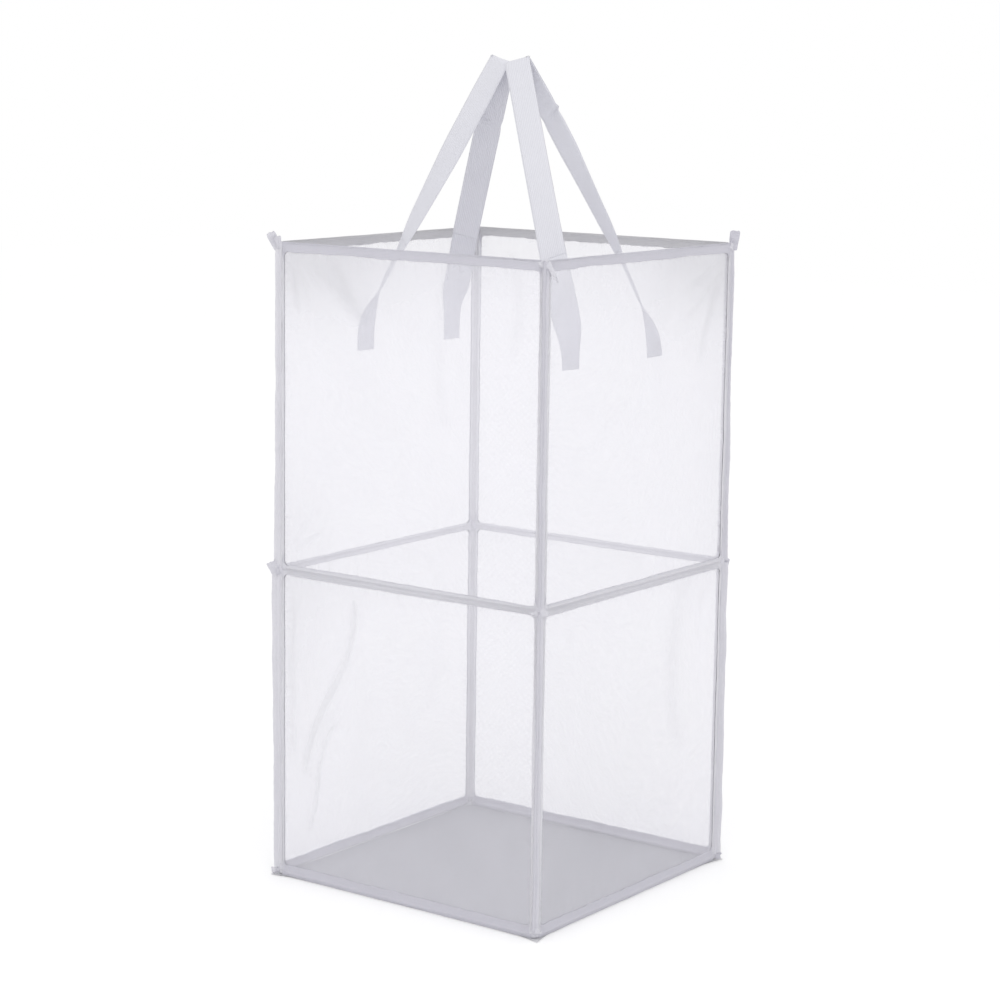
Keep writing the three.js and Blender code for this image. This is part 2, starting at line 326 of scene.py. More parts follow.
def placed(tree, values, name, inputs, outputs, build):
    """Places a node group in a material, built the first time: build gets the group and its inputs,
    and gives what its outputs are linked to."""
    group = bpy.data.node_groups.get(name)
    if not group:
        group = bpy.data.node_groups.new(name, "ShaderNodeTree")
        for label, kind, default in inputs:
            socket = group.interface.new_socket(name=label, in_out="INPUT", socket_type=kind)
            if default is not None:
                socket.default_value = default
        for label, kind in outputs:
            group.interface.new_socket(name=label, in_out="OUTPUT", socket_type=kind)
        results = build(group, group.nodes.new("NodeGroupInput").outputs)
        put(group, "NodeGroupOutput", dict(enumerate(results)))
    return put(tree, "ShaderNodeGroup", values, node_tree=group).outputs


def woven_threads(tree, values):
    """Places a plain weave: two sets of parallel threads, each thread's back the absolute sine across
    it, which pass over and under one another by the sign of the two sines multiplied."""

    def build(group, given):
        split = put(group, "ShaderNodeSeparateXYZ", {0: given["Vector"]}).outputs
        sines = [wave_across(group, split[axis], given["Pitch"]) for axis in "XY"]
        backs = [maths(group, "ABSOLUTE", sine) for sine in sines]
        over = maths(group, "GREATER_THAN", maths(group, "MULTIPLY", *sines), 0.0)
        pick = put(group, "ShaderNodeMix", {"Factor": over, "A": backs[0], "B": backs[1]})
        return pick.outputs["Result"], maths(group, "SUBTRACT", 1.0, maths(group, "MAXIMUM", *backs))

    return placed(
        tree, values, "Woven Threads", [("Vector", VECTOR, None), ("Pitch", FLOAT, 0.0006)],
        [("Height", FLOAT), ("Gap", FLOAT)], build,
    )


def net_threads(tree, values):
    """Places a fine net: two sets of slanted threads that cross in small diamonds. Cover is one on a
    thread and nothing in a hole, soft at its edges."""

    def build(group, given):
        split = put(group, "ShaderNodeSeparateXYZ", {0: given["Vector"]}).outputs
        backs = []
        for way in ("ADD", "SUBTRACT"):
            turns = maths(group, "DIVIDE", maths(group, way, split["X"], split["Y"]), given["Cell"])
            backs.append(maths(group, "PINGPONG", turns, 0.5))
        nearest = maths(group, "MINIMUM", *backs)
        share = maths(group, "DIVIDE", nearest, given["Thread"])
        limits = {"Value": share, "From Min": 0.6, "From Max": 1.2, "To Min": 1.0, "To Max": 0.0}
        cover = put(group, "ShaderNodeMapRange", limits, interpolation_type="SMOOTHSTEP")
        return cover.outputs[0], maths(group, "SUBTRACT", 1.0, nearest)

    return placed(
        tree, values, "Net Threads",
        [("Vector", VECTOR, None), ("Cell", FLOAT, 0.0009), ("Thread", FLOAT, 0.2)],
        [("Cover", FLOAT), ("Height", FLOAT)], build,
    )


def rib_weave(tree, values):
    """Places webbing's ribs: each the absolute sine across it, crossed by finer, lower rows."""

    def build(group, given):
        split = put(group, "ShaderNodeSeparateXYZ", {0: given["Vector"]}).outputs
        ribs, rows = (
            maths(group, "ABSOLUTE", wave_across(group, split[axis], given[pitch]))
            for axis, pitch in (("X", "Rib"), ("Y", "Row"))
        )
        height = maths(group, "ADD", ribs, maths(group, "MULTIPLY", rows, 0.35))
        return height, maths(group, "SUBTRACT", 1.0, ribs)

    return placed(
        tree, values, "Rib Weave",
        [("Vector", VECTOR, None), ("Rib", FLOAT, 0.0017), ("Row", FLOAT, 0.0009)],
        [("Height", FLOAT), ("Gap", FLOAT)], build,
    )


def cloth_tint(tree, values):
    """Places uneven dye: large soft clouds and small flecks that darken a colour. Its Gap input darkens
    it
    again: painted shade in the gaps between threads and along the net's folds, and the wire's own dark
    bloom."""

    def build(group, given):
        noise = {"Vector": given["Vector"]}
        cloud = put(group, "ShaderNodeTexNoise", {**noise, "Scale": 14.0, "Detail": 3.0}).outputs[0]
        fleck = put(group, "ShaderNodeTexNoise", {**noise, "Scale": 420.0, "Detail": 1.0}).outputs[0]
        mottle = maths(group, "ADD", cloud, maths(group, "MULTIPLY", fleck, 0.6))
        # The Gap darkening: painted shade in a weave's gaps and a net's folds, the wire's own bloom
        gaps = maths(group, "MULTIPLY", given["Gap"], given["Gap Depth"])
        dark = maths(group, "ADD", maths(group, "MULTIPLY", mottle, given["Clouds"]), gaps)
        scaled = {0: given["Color"], "Scale": maths(group, "SUBTRACT", 1.0, dark)}
        color = put(group, "ShaderNodeVectorMath", scaled, operation="SCALE").outputs[0]
        return color, maths(group, "ADD", 0.72, maths(group, "MULTIPLY", mottle, 0.12))

    return placed(
        tree, values, "Cloth Tint",
        [("Vector", VECTOR, None), ("Color", COLOR, (0.8, 0.8, 0.8, 1)), ("Clouds", FLOAT, 0.05),
         ("Gap", FLOAT, 0.0), ("Gap Depth", FLOAT, 0.15)],
        [("Color", COLOR), ("Roughness", FLOAT)], build,
    )


def dyed(tree, shader, values, height, distance):
    """Feeds an uneven dye, and a bump of the given height and distance, into a shader."""
    tint = cloth_tint(tree, values)
    tree.links.new(tint["Color"], shader.inputs["Base Color"])
    tree.links.new(tint["Roughness"], shader.inputs["Roughness"])
    bump = put(tree, "ShaderNodeBump", {"Height": height, "Distance": distance, "Strength": 1.0})
    tree.links.new(bump.outputs[0], shader.inputs["Normal"])


def level_all_over(shader, levels):
    """Sets what is the same all over a material on its shader's own sockets."""
    for label, level in levels.items():
        shader.inputs[label].default_value = level


def on_cloth(tree):
    """Where a point lies on its piece's own UV map."""
    return put(tree, "ShaderNodeUVMap", uv_map="metres").outputs[0]


def on_object(tree):
    """Where a point lies on its object."""
    return put(tree, "ShaderNodeTexCoord").outputs["Object"]


def piece_shade(tree):
    """The painted light and shade that a piece keeps for each of its points."""
    return put(tree, "ShaderNodeAttribute", attribute_name="shade").outputs["Fac"]


def shaded_colour(tree, plain, light, dark):
    """Lit and shaded copies of one colour, as painted light and shade: the plain colour where the
    piece's shade is 0, the light one at 1 and the dark one at -1.
    """
    shade = piece_shade(tree)
    mixed = (*plain, 1)
    for share, other in ((shade, light), (maths(tree, "MULTIPLY", shade, -1.0), dark)):
        ends = {0: share, 6: mixed, 7: (*other, 1)}
        mixed = put(tree, "ShaderNodeMix", ends, data_type="RGBA").outputs[2]
    return mixed


def woven_cloth(tree, shader, shades, pitch, depth, clouds, sheen):
    """A woven cloth on the piece's own UV map. shades are its plain colour and its lit and shaded
    copies, which the piece's shade paints in as light and shade.
    """
    place = on_cloth(tree)
    weave = woven_threads(tree, {"Vector": place, "Pitch": pitch})
    values = {"Vector": place, "Color": shaded_colour(tree, *shades), "Clouds": clouds,
              "Gap": weave["Gap"], "Gap Depth": 0.15}
    dyed(tree, shader, values, weave["Height"], depth)
    level_all_over(shader, {"Specular IOR Level": 0.25, "Sheen Weight": sheen})


def woven_tape(tree, shader):
    """Binding tape: painted light where one thin layer would let light through, and painted shade on
    its inner face at the mouth.
    """
    colours = held("colours")
    shades = colours.tape, colours.lit_tape, colours.shaded_inner_tape
    woven_cloth(tree, shader, shades, 0.55 * MM, 0.1 * MM, 0.05, 0.12)


def woven_base(tree, shader):
    """Coarser cloth of the base, with painted light at its tips, as light as lit tape."""
    colours = held("colours")
    shades = colours.base, colours.lit_tape, colours.base
    woven_cloth(tree, shader, shades, 0.8 * MM, 0.14 * MM, 0.07, 0.1)


def ribbed_webbing(tree, shader):
    """Ribbed webbing on the piece's own UV map."""
    place = on_cloth(tree)
    ribs = rib_weave(tree, {"Vector": place})
    values = {"Vector": place, "Color": (*held("colours").webbing, 1), "Clouds": 0.05,
              "Gap": ribs["Gap"], "Gap Depth": 0.08}
    dyed(tree, shader, values, ribs["Height"], 0.18 * MM)
    level_all_over(shader, {"Specular IOR Level": 0.3, "Sheen Weight": 0.1})


def sewing_thread(tree, shader):
    """Sewing thread, faintly twisted, on object coordinates."""
    place = on_object(tree)
    weave = woven_threads(tree, {"Vector": place, "Pitch": 0.4 * MM})
    values = {"Vector": place, "Color": (*held("colours").thread, 1), "Clouds": 0.04,
              "Gap": weave["Gap"]}
    dyed(tree, shader, values, weave["Height"], 0.03 * MM)


def sheer_net(tree, shader):
    """Sheer net: see-through between its threads. Its shade is painted shade that makes it denser and
    darker along its folds and in shaded zones, and painted light that makes it thinner where negative.
    """
    colours = held("colours")
    place = on_cloth(tree)
    net = net_threads(tree, {"Vector": place, "Cell": held("sizes").net_cell, "Thread": 0.2})
    # fold is the net's painted shade and light
    fold = piece_shade(tree)
    cloud = put(tree, "ShaderNodeTexNoise", {"Vector": place, "Scale": 22.0, "Detail": 4.0}).outputs[0]
    cover = maths(tree, "MULTIPLY", net["Cover"], colours.net_cover)
    cover = maths(tree, "ADD", cover, colours.net_haze)
    cover = maths(tree, "ADD", cover, maths(tree, "MULTIPLY", fold, 0.16))
    soft = maths(tree, "MULTIPLY", maths(tree, "SUBTRACT", cloud, 0.5), 0.08)
    tree.links.new(maths(tree, "ADD", cover, soft), shader.inputs["Alpha"])
    values = {"Vector": place, "Color": (*colours.net, 1), "Clouds": 0.03,
              "Gap": maths(tree, "MAXIMUM", fold, 0.0), "Gap Depth": 0.3}
    dyed(tree, shader, values, net["Height"], 0.06 * MM)
    level_all_over(shader, {"Specular IOR Level": 0.2, "Sheen Weight": 0.15})


def spring_wire(tree, shader):
    """Drawn spring wire: a steel grey with fine scratches and a thin dark bloom."""
    place = on_object(tree)
    bloom = put(tree, "ShaderNodeTexNoise", {"Vector": place, "Scale": 90.0, "Detail": 4.0})
    scratch = put(tree, "ShaderNodeTexNoise", {"Vector": place, "Scale": 2500.0, "Detail": 2.0})
    values = {"Vector": place, "Color": (*held("colours").steel, 1), "Clouds": 0.2,
              "Gap": bloom.outputs[0], "Gap Depth": 0.3}
    dyed(tree, shader, values, scratch.outputs[0], 0.04 * MM)
    level_all_over(shader, {"Metallic": 1.0})
    rough = maths(tree, "ADD", 0.25, maths(tree, "MULTIPLY", bloom.outputs[0], 0.25))
    tree.links.new(rough, shader.inputs["Roughness"])


def pale_floor(tree, shader):
    """The floor: plain for light, and a little brighter for the camera."""
    level_all_over(shader, {
        "Base Color": (*held("stage").floor, 1), "Emission Color": (1, 1, 1, 1), "Roughness": 1.0,
        "Specular IOR Level": 0.0,
    })
    fill = maths(tree, "MULTIPLY", seen_directly(tree), held("stage").floor_fill)
    tree.links.new(fill, shader.inputs["Emission Strength"])


def finish(piece, build):
    """Gives a piece its only material, named after the function that builds it the first time."""
    material = bpy.data.materials.get(build.__name__)
    if not material:
        material = bpy.data.materials.new(build.__name__)
        material.use_nodes = True
        build(material.node_tree, material.node_tree.nodes["Principled BSDF"])
    piece.data.materials.clear()
    piece.data.materials.append(material)
    return piece


def taped(piece):
    """Finishes a piece as binding tape."""
    return finish(piece, woven_tape)


# ---------------------------------------------------------------- properties


def length_of(name, text, default, low=0.0001, high=2.0):
    """A length that a user may change, in metres."""
    return FloatProperty(
        name=name, description=text, default=default, min=low, max=high, precision=4,
        subtype="DISTANCE", unit="LENGTH",
    )


def colour_of(name, text, default):
    """A linear colour that a user may change."""
    return FloatVectorProperty(
        name=name, description=text, default=default, size=3, min=0, max=1, subtype="COLOR",
    )


def share_of(name, text, default, high=1.0):
    """A share or strength that a user may change."""
    return FloatProperty(name=name, description=text, default=default, min=0, max=high, subtype="FACTOR")


class HamperSizes(bpy.types.PropertyGroup):
    """Sizes of the cloth and tape"""

    side_hem: length_of("Side tape", "Width of the tape down each side of a cell", 3.1 * MM)
    middle_hem: length_of("Middle tape", "Width of the tape where two cells meet", 4.2 * MM)
    rim_hem: length_of("Rim tape", "Width of the tape round the mouth", 9 * MM)
    base_hem: length_of("Bottom tape", "Width of the tape along the floor", 10 * MM)
    outer_round: length_of("Outer corner", "Radius of a cell's corners", 2.5 * MM)
    window_round: length_of("Inner corner", "Radius of the mesh window's corners", 4 * MM)
    bead_half: length_of("Wire bead", "Half the thickness of the tape over its wire", 1.35 * MM)
    lip_half: length_of("Tape lip", "Half the thickness of the tape beside its wire", 0.7 * MM)
    tape_wall: length_of("Tape thickness", "Thickness of one layer of tape", 0.38 * MM)
    stitch_pitch: length_of("Stitch pitch", "Distance from one stitch to the next", 3.4 * MM)
    net_cell: length_of("Net cell", "Width of one opening of the net", 1.0 * MM)
    fold_depth: length_of("Fold depth", "How far the main folds of the mesh stand out", 3.2 * MM)


class HamperWebbing(bpy.types.PropertyGroup):
    """Sizes of the handles"""

    width: length_of("Width", "Width of the webbing", 25 * MM)
    thickness: length_of("Thickness", "Thickness of the webbing", 1.15 * MM)
    near_leg: length_of("Near leg", "How far the near leg stands off the middle", -26 * MM, low=-0.2)
    far_leg: length_of("Far leg", "How far the far leg stands off the middle", 110 * MM)
    crest: length_of("Crest", "Length of the leaning webbing up to its crest", 280.6 * MM)
    rounding: length_of("Crest rounding", "Height over which the crest turns over", 10 * MM)
    bend: length_of("Bend", "How far below and above its hinge a leg bends", 24 * MM)
    join: length_of("Join", "Height at which the strap passes into the grip", 600 * MM)


class HamperColours(bpy.types.PropertyGroup):
    """Colours of the cloth, tape, webbing and wire"""

    net: colour_of("Net", "Threads of the mesh", (0.91, 0.90, 0.965))
    net_cover: share_of("Net threads", "How solid a thread of the mesh is", 0.30)
    net_haze: share_of("Net haze", "How much the mesh veils between its threads", 0.24)
    tape: colour_of("Tape", "Binding tape", (0.67, 0.66, 0.73))
    # Painted light: the lit copy of the tape, where light would come through one thin layer
    lit_tape: colour_of("Thin tape", "Binding tape where it is thin", (0.95, 0.945, 0.98))
    # Painted shade: the shaded copy of the tape, on its inner face at the mouth
    shaded_inner_tape: colour_of("Inner tape", "Inner face of the tape at the mouth", (0.62, 0.615, 0.64))
    base: colour_of("Base", "Cloth of the base", (0.44, 0.44, 0.475))
    webbing: colour_of("Webbing", "Webbing of the handles", (0.79, 0.79, 0.845))
    thread: colour_of("Thread", "Sewing thread", (0.72, 0.72, 0.77))
    steel: colour_of("Steel", "Spring wire", (0.42, 0.43, 0.45))


class HamperStage(bpy.types.PropertyGroup):
    """Light and camera"""

    sky: share_of("Soft light", "Strength of the light from all round", 0.97, high=4)
    lamp: FloatProperty(
        name="Lamp", description="Power of the large lamp", default=9.0, min=0, max=500,
        subtype="POWER", unit="POWER",
    )
    lens: FloatProperty(
        name="Lens", description="Focal length on a 36 mm sensor", default=94.85, min=20, max=300,
        unit="CAMERA",
    )
    floor: colour_of("Floor", "Pale floor", (0.92, 0.92, 0.92))
    floor_fill: share_of("Floor fill", "White that only the camera sees on the floor", 0.108, high=2)


def held(group):
    """One group of the values that a user may change."""
    return getattr(bpy.context.scene, f"hamper_{group}")


# ---------------------------------------------------------------- the cells

# The tape where two cells meet: its share of the middle tape's width, and for one side how much broader
# it gets inwards of its ends, in millimetres: all along it, and at its right end beyond that
MIDDLE_SHARES = {"front": 1.0, "right": 1.2, "back": 0.82, "left": 0.82}
MIDDLE_SLANTS = {"front": (0.4, -0.9)}
TAPE_SIDE_STEPS = 100
TAPE_CORNER_STEPS = 8
# The row of a tape's points whose girth its UV map takes
TAPE_GIRTH_ROW = 20
# How far the tape reaches past the cell it binds, how deep its wire lies, and the wire's corner radius
TAPE_SPREAD = 0.55 * MM
WIRE_DEPTH = 1.9 * MM
WIRE_ROUND = 8.1 * MM
SLEEVE_HALF_LENGTH = 8 * MM
SLEEVE_BULGE = 0.35 * MM
# The lowest tapes hang past their cells, almost to the floor. The left one clears the base, over which
# it slides as the box folds.
TAPE_FEET = {"front": 0.3 * MM, "right": 0.3 * MM, "back": 0.3 * MM, "left": 1.65 * MM}
# Where the points of a tape's profile lie: shares of the way from its wire to the outer edge, and from
# its wire to the inner lip
EDGE_SHARES = np.array([1.0, 0.985, 0.93, 0.8, 0.55, 0.28])
LIP_SHARES = np.array([0.0, 0.1, 0.2, 0.34, 0.55, 0.8, 0.96, 1.0])
# How far the seam lies from the tape's lip, the length of a stitch as a share of its pitch, and its
# thickness
SEAM_INSET, STITCH_SHARE, STITCH_THICKNESS = 0.9 * MM, 0.74, 0.42 * MM


def cell_of(tier):
    """A cell's outline: half its width, its bottom and its top."""
    half = CELL_HALF + TAPE_SPREAD
    return (half, LOW_TAPE[0].z, MIDDLE) if tier == "lower" else (half, MIDDLE, RIM)


def hems_of(side, tier):
    """The widths of a cell's bottom and top tape."""
    sizes = held("sizes")
    middle = sizes.middle_hem * MIDDLE_SHARES[side]
    return (sizes.base_hem, middle) if tier == "lower" else (middle, sizes.rim_hem)


def rounded_box(half, bottom, top, radius):
    """A rounded box walked anticlockwise from the left of its bottom side: each side in even steps from
    one corner's arc to the next, each corner a quarter circle. Gives points of along and up."""
    side = np.arange(TAPE_SIDE_STEPS)[:, None] / TAPE_SIDE_STEPS
    arc = np.arange(TAPE_CORNER_STEPS) / TAPE_CORNER_STEPS * np.pi / 2
    reach, low, high = half - radius, bottom + radius, top - radius
    walks = [
        ((-reach, bottom), (reach, bottom), (reach, low), -np.pi / 2),
        ((half, low), (half, high), (reach, high), 0),
        ((reach, top), (-reach, top), (-reach, high), np.pi / 2),
        ((-half, high), (-half, low), (-reach, low), np.pi),
    ]
    parts = []
    for start, end, centre, angle in walks:
        parts.append(np.array(start) + (np.array(end) - np.array(start)) * side)
        parts.append(np.array(centre) + radius * np.stack([np.cos(arc + angle), np.sin(arc + angle)], -1))
    return np.concatenate(parts)


def tape_lines(side, tier):
    """A cell's seed, three lines round it, step for step: the tape's outer edge, its wire and its inner
    lip, and how far the tape leaves its plane there: a slow wave and a quicker one. The edges are a
    little ragged."""
    sizes = held("sizes")
    seed = 11 * list(SIDES).index(side) + 100 * TIERS.index(tier) + 7
    half, bottom, top = cell_of(tier)
    low_hem, high_hem = hems_of(side, tier)
    low, high = LOW_TAPE if tier == "lower" else HIGH_TAPE
    foot = TAPE_FEET[side] if tier == "lower" else bottom
    outer = rounded_box(half, foot, top, sizes.outer_round)
    wire = rounded_box(CELL_HALF - WIRE_DEPTH, low.z + WIRE_DEPTH, high.z - WIRE_DEPTH, WIRE_ROUND)
    lip = rounded_box(CELL_HALF - sizes.side_hem, bottom + low_hem, top - high_hem, sizes.window_round)
    turn = np.arange(len(outer)) * 2 * np.pi / len(outer)
    inwards = unit(lip - outer)
    broad = smooth((np.linalg.norm(lip - wire, axis=-1) - 2 * MM) / (4 * MM))
    ragged = 0.2 * ripple(seed, turn, (23, 37, 61, 97)) + 0.25 * ripple(seed + 1, turn, (9, 14))
    meets = np.abs(outer[:, 1] - MIDDLE) < MM
    shrink = np.where(meets, -0.1, 0.1 * (1 + ripple(seed + 2, turn, (7, 19, 31))))
    level, slant = MIDDLE_SLANTS.get(side, (0, 0))
    broader = (level + slant * outer[:, 0] / half) * smooth((half - np.abs(outer[:, 0])) / (10 * MM))
    ragged = ragged * (1 + 0.9 * broad) + np.where(meets, broader, 0)
    sway = 0.14 * ripple(seed + 3, turn, (5, 8, 13)) + 0.07 * ripple(seed + 4, turn, (41, 67))
    edge = outer + inwards * shrink[:, None] * MM
    return seed, edge, wire, lip + inwards * ragged[:, None] * MM, sway * MM


def binding(side, tier):
    """Folded tape all round a cell. Its profile starts at the outer edge, swells in a bell over the
    wire, falls to the flat lip, and comes back as the hollow that holds the wire; the inner face is
    its mirror image. The profile is carried round the cell's outline."""
    sizes = held("sizes")
    seed, edge, wire, lip, sway = tape_lines(side, tier)
    to_edge, to_lip = (line[:, None] - wire[:, None] for line in (edge, lip))
    off = np.concatenate([to_edge * EDGE_SHARES[:, None], to_lip * LIP_SHARES[:, None]], 1)
    plane, off_wire = wire[:, None] + off, np.linalg.norm(off, axis=-1)
    level = wire[:, 1]
    sleeve = smooth((SLEEVE_HALF_LENGTH + 3 * MM - np.abs(wire[:, 0])) / (3 * MM))
    sleeve = (sleeve * (level < (MIDDLE / 2 if tier == "lower" else MIDDLE + 20 * MM)))[:, None]
    bead = sizes.bead_half + SLEEVE_BULGE * sleeve
    bell = np.exp(-((off_wire / ((1.15 + 0.3 * sleeve) * MM)) ** 2))
    thick = sizes.lip_half + (bead - sizes.lip_half) * bell
    worn = 0.16 * MM * crumple(seed + 5, plane[..., 0], plane[..., 1], 3 * MM, 11 * MM, 14)
    worn = worn * smooth((off_wire - 1.2 * MM) / (1.5 * MM))
    closing = np.concatenate([np.sqrt(1 - EDGE_SHARES**12), np.ones(len(LIP_SHARES))])
    outer_face, inner_face = (thick + worn) * closing, (thick - 0.8 * worn) * closing
    points_across = thick.shape[1]
    hollow = np.maximum(thick - sizes.tape_wall, 0.3 * MM)
    hollow = hollow * np.concatenate([[0, 0.5], np.ones(points_across - 2)])
    hollow_plane = plane.copy()
    hollow_plane[:, :2] = plane[:, 2:3]
    around = np.concatenate([plane, hollow_plane[:, ::-1], hollow_plane[:, 1:], plane[:, :0:-1]], 1)
    depth = np.concatenate([outer_face, hollow[:, ::-1], -hollow[:, 1:], -inner_face[:, :0:-1]], 1)
    points = on_panel(side, around[..., 0], WALL + depth + sway[:, None], around[..., 1])
    girth = distances(np.concatenate([around, depth[..., None]], -1)[TAPE_GIRTH_ROW])
    marks = marks_of(girth, 0.3 * MM, distances(closed_path(wire)))
    bottom, top = level.min(), level.max()
    from_ends = np.minimum(level - bottom, top - level)
    # Painted light: thin marks where the tape is painted lighter, as if lit through one thin layer: its
    # sides from 17 mm off its top and bottom, and all tape below 9 mm above the middle band, apart from
    # the bottom of the lower tape
    thin = smooth((from_ends - 7 * MM) / (10 * MM)) + 0.6 * (level < MIDDLE + 9 * MM)
    thin = np.clip(thin, 0, 1) * ((level >= bottom + 4 * MM) | (tier == "upper"))
    faces_in = np.arange(around.shape[1]) >= 3 * points_across - 1
    # Painted shade: dark darkens the inner face near the mouth; below that the inner face takes the full
    # painted light
    dark = faces_in * smooth((level - RIM + 12 * MM) / (8 * MM))[:, None]
    shade = thin[:, None] * (0.6 + 0.4 * faces_in) * (1 - dark) - dark
    name = f"{side}_{tier}"
    piece = taped(outward(surface(f"{name}_binding", points, marks, (True, True), shade=shade)))
    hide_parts(f"{name}_tape")
    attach(piece, side)


def binding_stitches(side, tier):
    """A line of stitches along both faces of a cell's tape, just inside its lips."""
    sizes = held("sizes")
    _, _, wire, lip, sway = tape_lines(side, tier)
    seam = closed_path(lip - unit(lip - wire) * SEAM_INSET)
    at = spaced(seam, sizes.stitch_pitch)
    place = at_distance(seam, at)
    ahead = at_distance(seam, at + MM) - place
    sway = np.interp(at, distances(seam), closed_path(sway))
    parts = []
    for face in (1, -1):
        parts.append((
            on_panel(side, place[:, 0], WALL + sway + face * sizes.lip_half, place[:, 1]),
            on_panel(side, ahead[:, 0], 0 * at, ahead[:, 1]),
            on_panel(side, 0 * at, face + 0 * at, 0 * at),
        ))
    joined = [np.concatenate(part) for part in zip(*parts)]
    length = sizes.stitch_pitch * STITCH_SHARE
    piece = stitches(f"{side}_{tier}_stitching", *joined, length, STITCH_THICKNESS)
    finish(piece, sewing_thread)
    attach(piece, side)


# ---------------------------------------------------------------- the mesh

# How far inside the cell's edge the mesh ends, hidden between the lips of its tape
VEIL_INSET = 2.6 * MM
VEIL_STEPS = 190
CREASE_FADE = 20 * MM


def crease(along, up, line, width, height):
    """A fold along a bent line. Its place at each height is the polynomial through the line's points,
    and its section is a bell of the given width; it fades out towards both ends."""
    line = np.array(line) * MM
    bend = np.polynomial.Polynomial.fit(line[:, 1], line[:, 0], len(line) - 1)
    away = (along - bend(up)) / np.sqrt(1 + bend.deriv()(up) ** 2)
    low, high = line[:, 1].min(), line[:, 1].max()
    ends = smooth((up - low) / CREASE_FADE) * smooth((high - up) / CREASE_FADE)
    return height * MM * np.exp(-((away / (width * MM)) ** 2)) * ends


# Folds that the photograph shows: panel, then line in millimetres, width, and height outwards
FOLDS = {
    "front_upper": [
        ([(-116, 598), (-90, 572), (-62, 540)], 6, 2.2),
        ([(-104, 597), (-76, 566), (-50, 528)], 9, -1.8),
        ([(-130, 592), (-120, 566), (-112, 540)], 4, 1.3),
        ([(-137, 588), (-131, 560), (-128, 530)], 3.5, -1.1),
        ([(-122, 592), (-108, 572), (-92, 556)], 3, 0.9),
        ([(-134, 318), (-118, 345), (-104, 368)], 3.5, 1.2),
        ([(-136, 312), (-108, 334), (-84, 350)], 3, -0.9),
    ],
    "right_upper": [
        ([(134, 598), (100, 572), (66, 558)], 4.5, -1.5),
        ([(132, 594), (92, 552), (52, 528)], 6, 1.4),
        ([(137, 588), (112, 530), (96, 486)], 6, -1.2),
    ],
    "front_lower": [
        ([(-62, 288), (-72, 220), (-102, 160), (-120, 100)], 5, -2.0),
        ([(-54, 290), (-60, 225), (-90, 160), (-112, 95)], 7, 2.0),
        ([(-74, 170), (-96, 130), (-104, 90), (-120, 40)], 3, -1.6),
        ([(-120, 285), (-128, 240), (-126, 200)], 6, 1.3),
        ([(-134, 282), (-136, 200), (-134, 110)], 5, -1.1),
    ],
    "right_lower": [
        ([(-110, 285), (-96, 220), (-104, 150)], 9, -1.2),
        ([(120, 285), (112, 220), (124, 150)], 8, -1.2),
    ],
    "back_upper": [
        ([(-90, 590), (-70, 520), (-84, 430)], 12, 1.4),
        ([(110, 590), (96, 540), (104, 470)], 8, -1.3),
    ],
    "back_lower": [([(-110, 285), (-96, 200), (-108, 100)], 9, -1.4)],
    "left_upper": [([(-110, 590), (-90, 500), (-104, 400)], 9, -1.2)],
    "left_lower": [([(-80, 285), (-96, 200), (-80, 100)], 10, 1.4)],
}
# Where the gathered mesh is painted denser and darker, as painted shade: panel, then middle along and
# up, reach along and up, in millimetres, and strength, which is negative where painted light makes it
# thinner and lighter
DENSE_AND_SHADED = {
    "front_upper": [(-118, 600, 100, 60, 0.85), (60, 612, 260, 50, 0.35), (-140, 330, 60, 60, 0.25)],
    "right_upper": [(124, 600, 120, 70, 0.8), (-20, 612, 220, 60, 0.35), (150, 400, 60, 260, 0.2)],
    "front_lower": [(-130, 230, 60, 150, 0.35), (0, 300, 260, 30, 0.2), (40, 150, 150, 120, -0.4)],
    "right_lower": [(60, 300, 240, 50, 0.3), (0, 160, 190, 120, -0.8)],
    "back_upper": [(0, 612, 240, 50, 0.3)],
    "back_lower": [(0, 300, 240, 40, 0.2)],
    "left_upper": [(0, 612, 240, 50, 0.3)],
    "left_lower": [(0, 300, 240, 40, 0.2)],
}


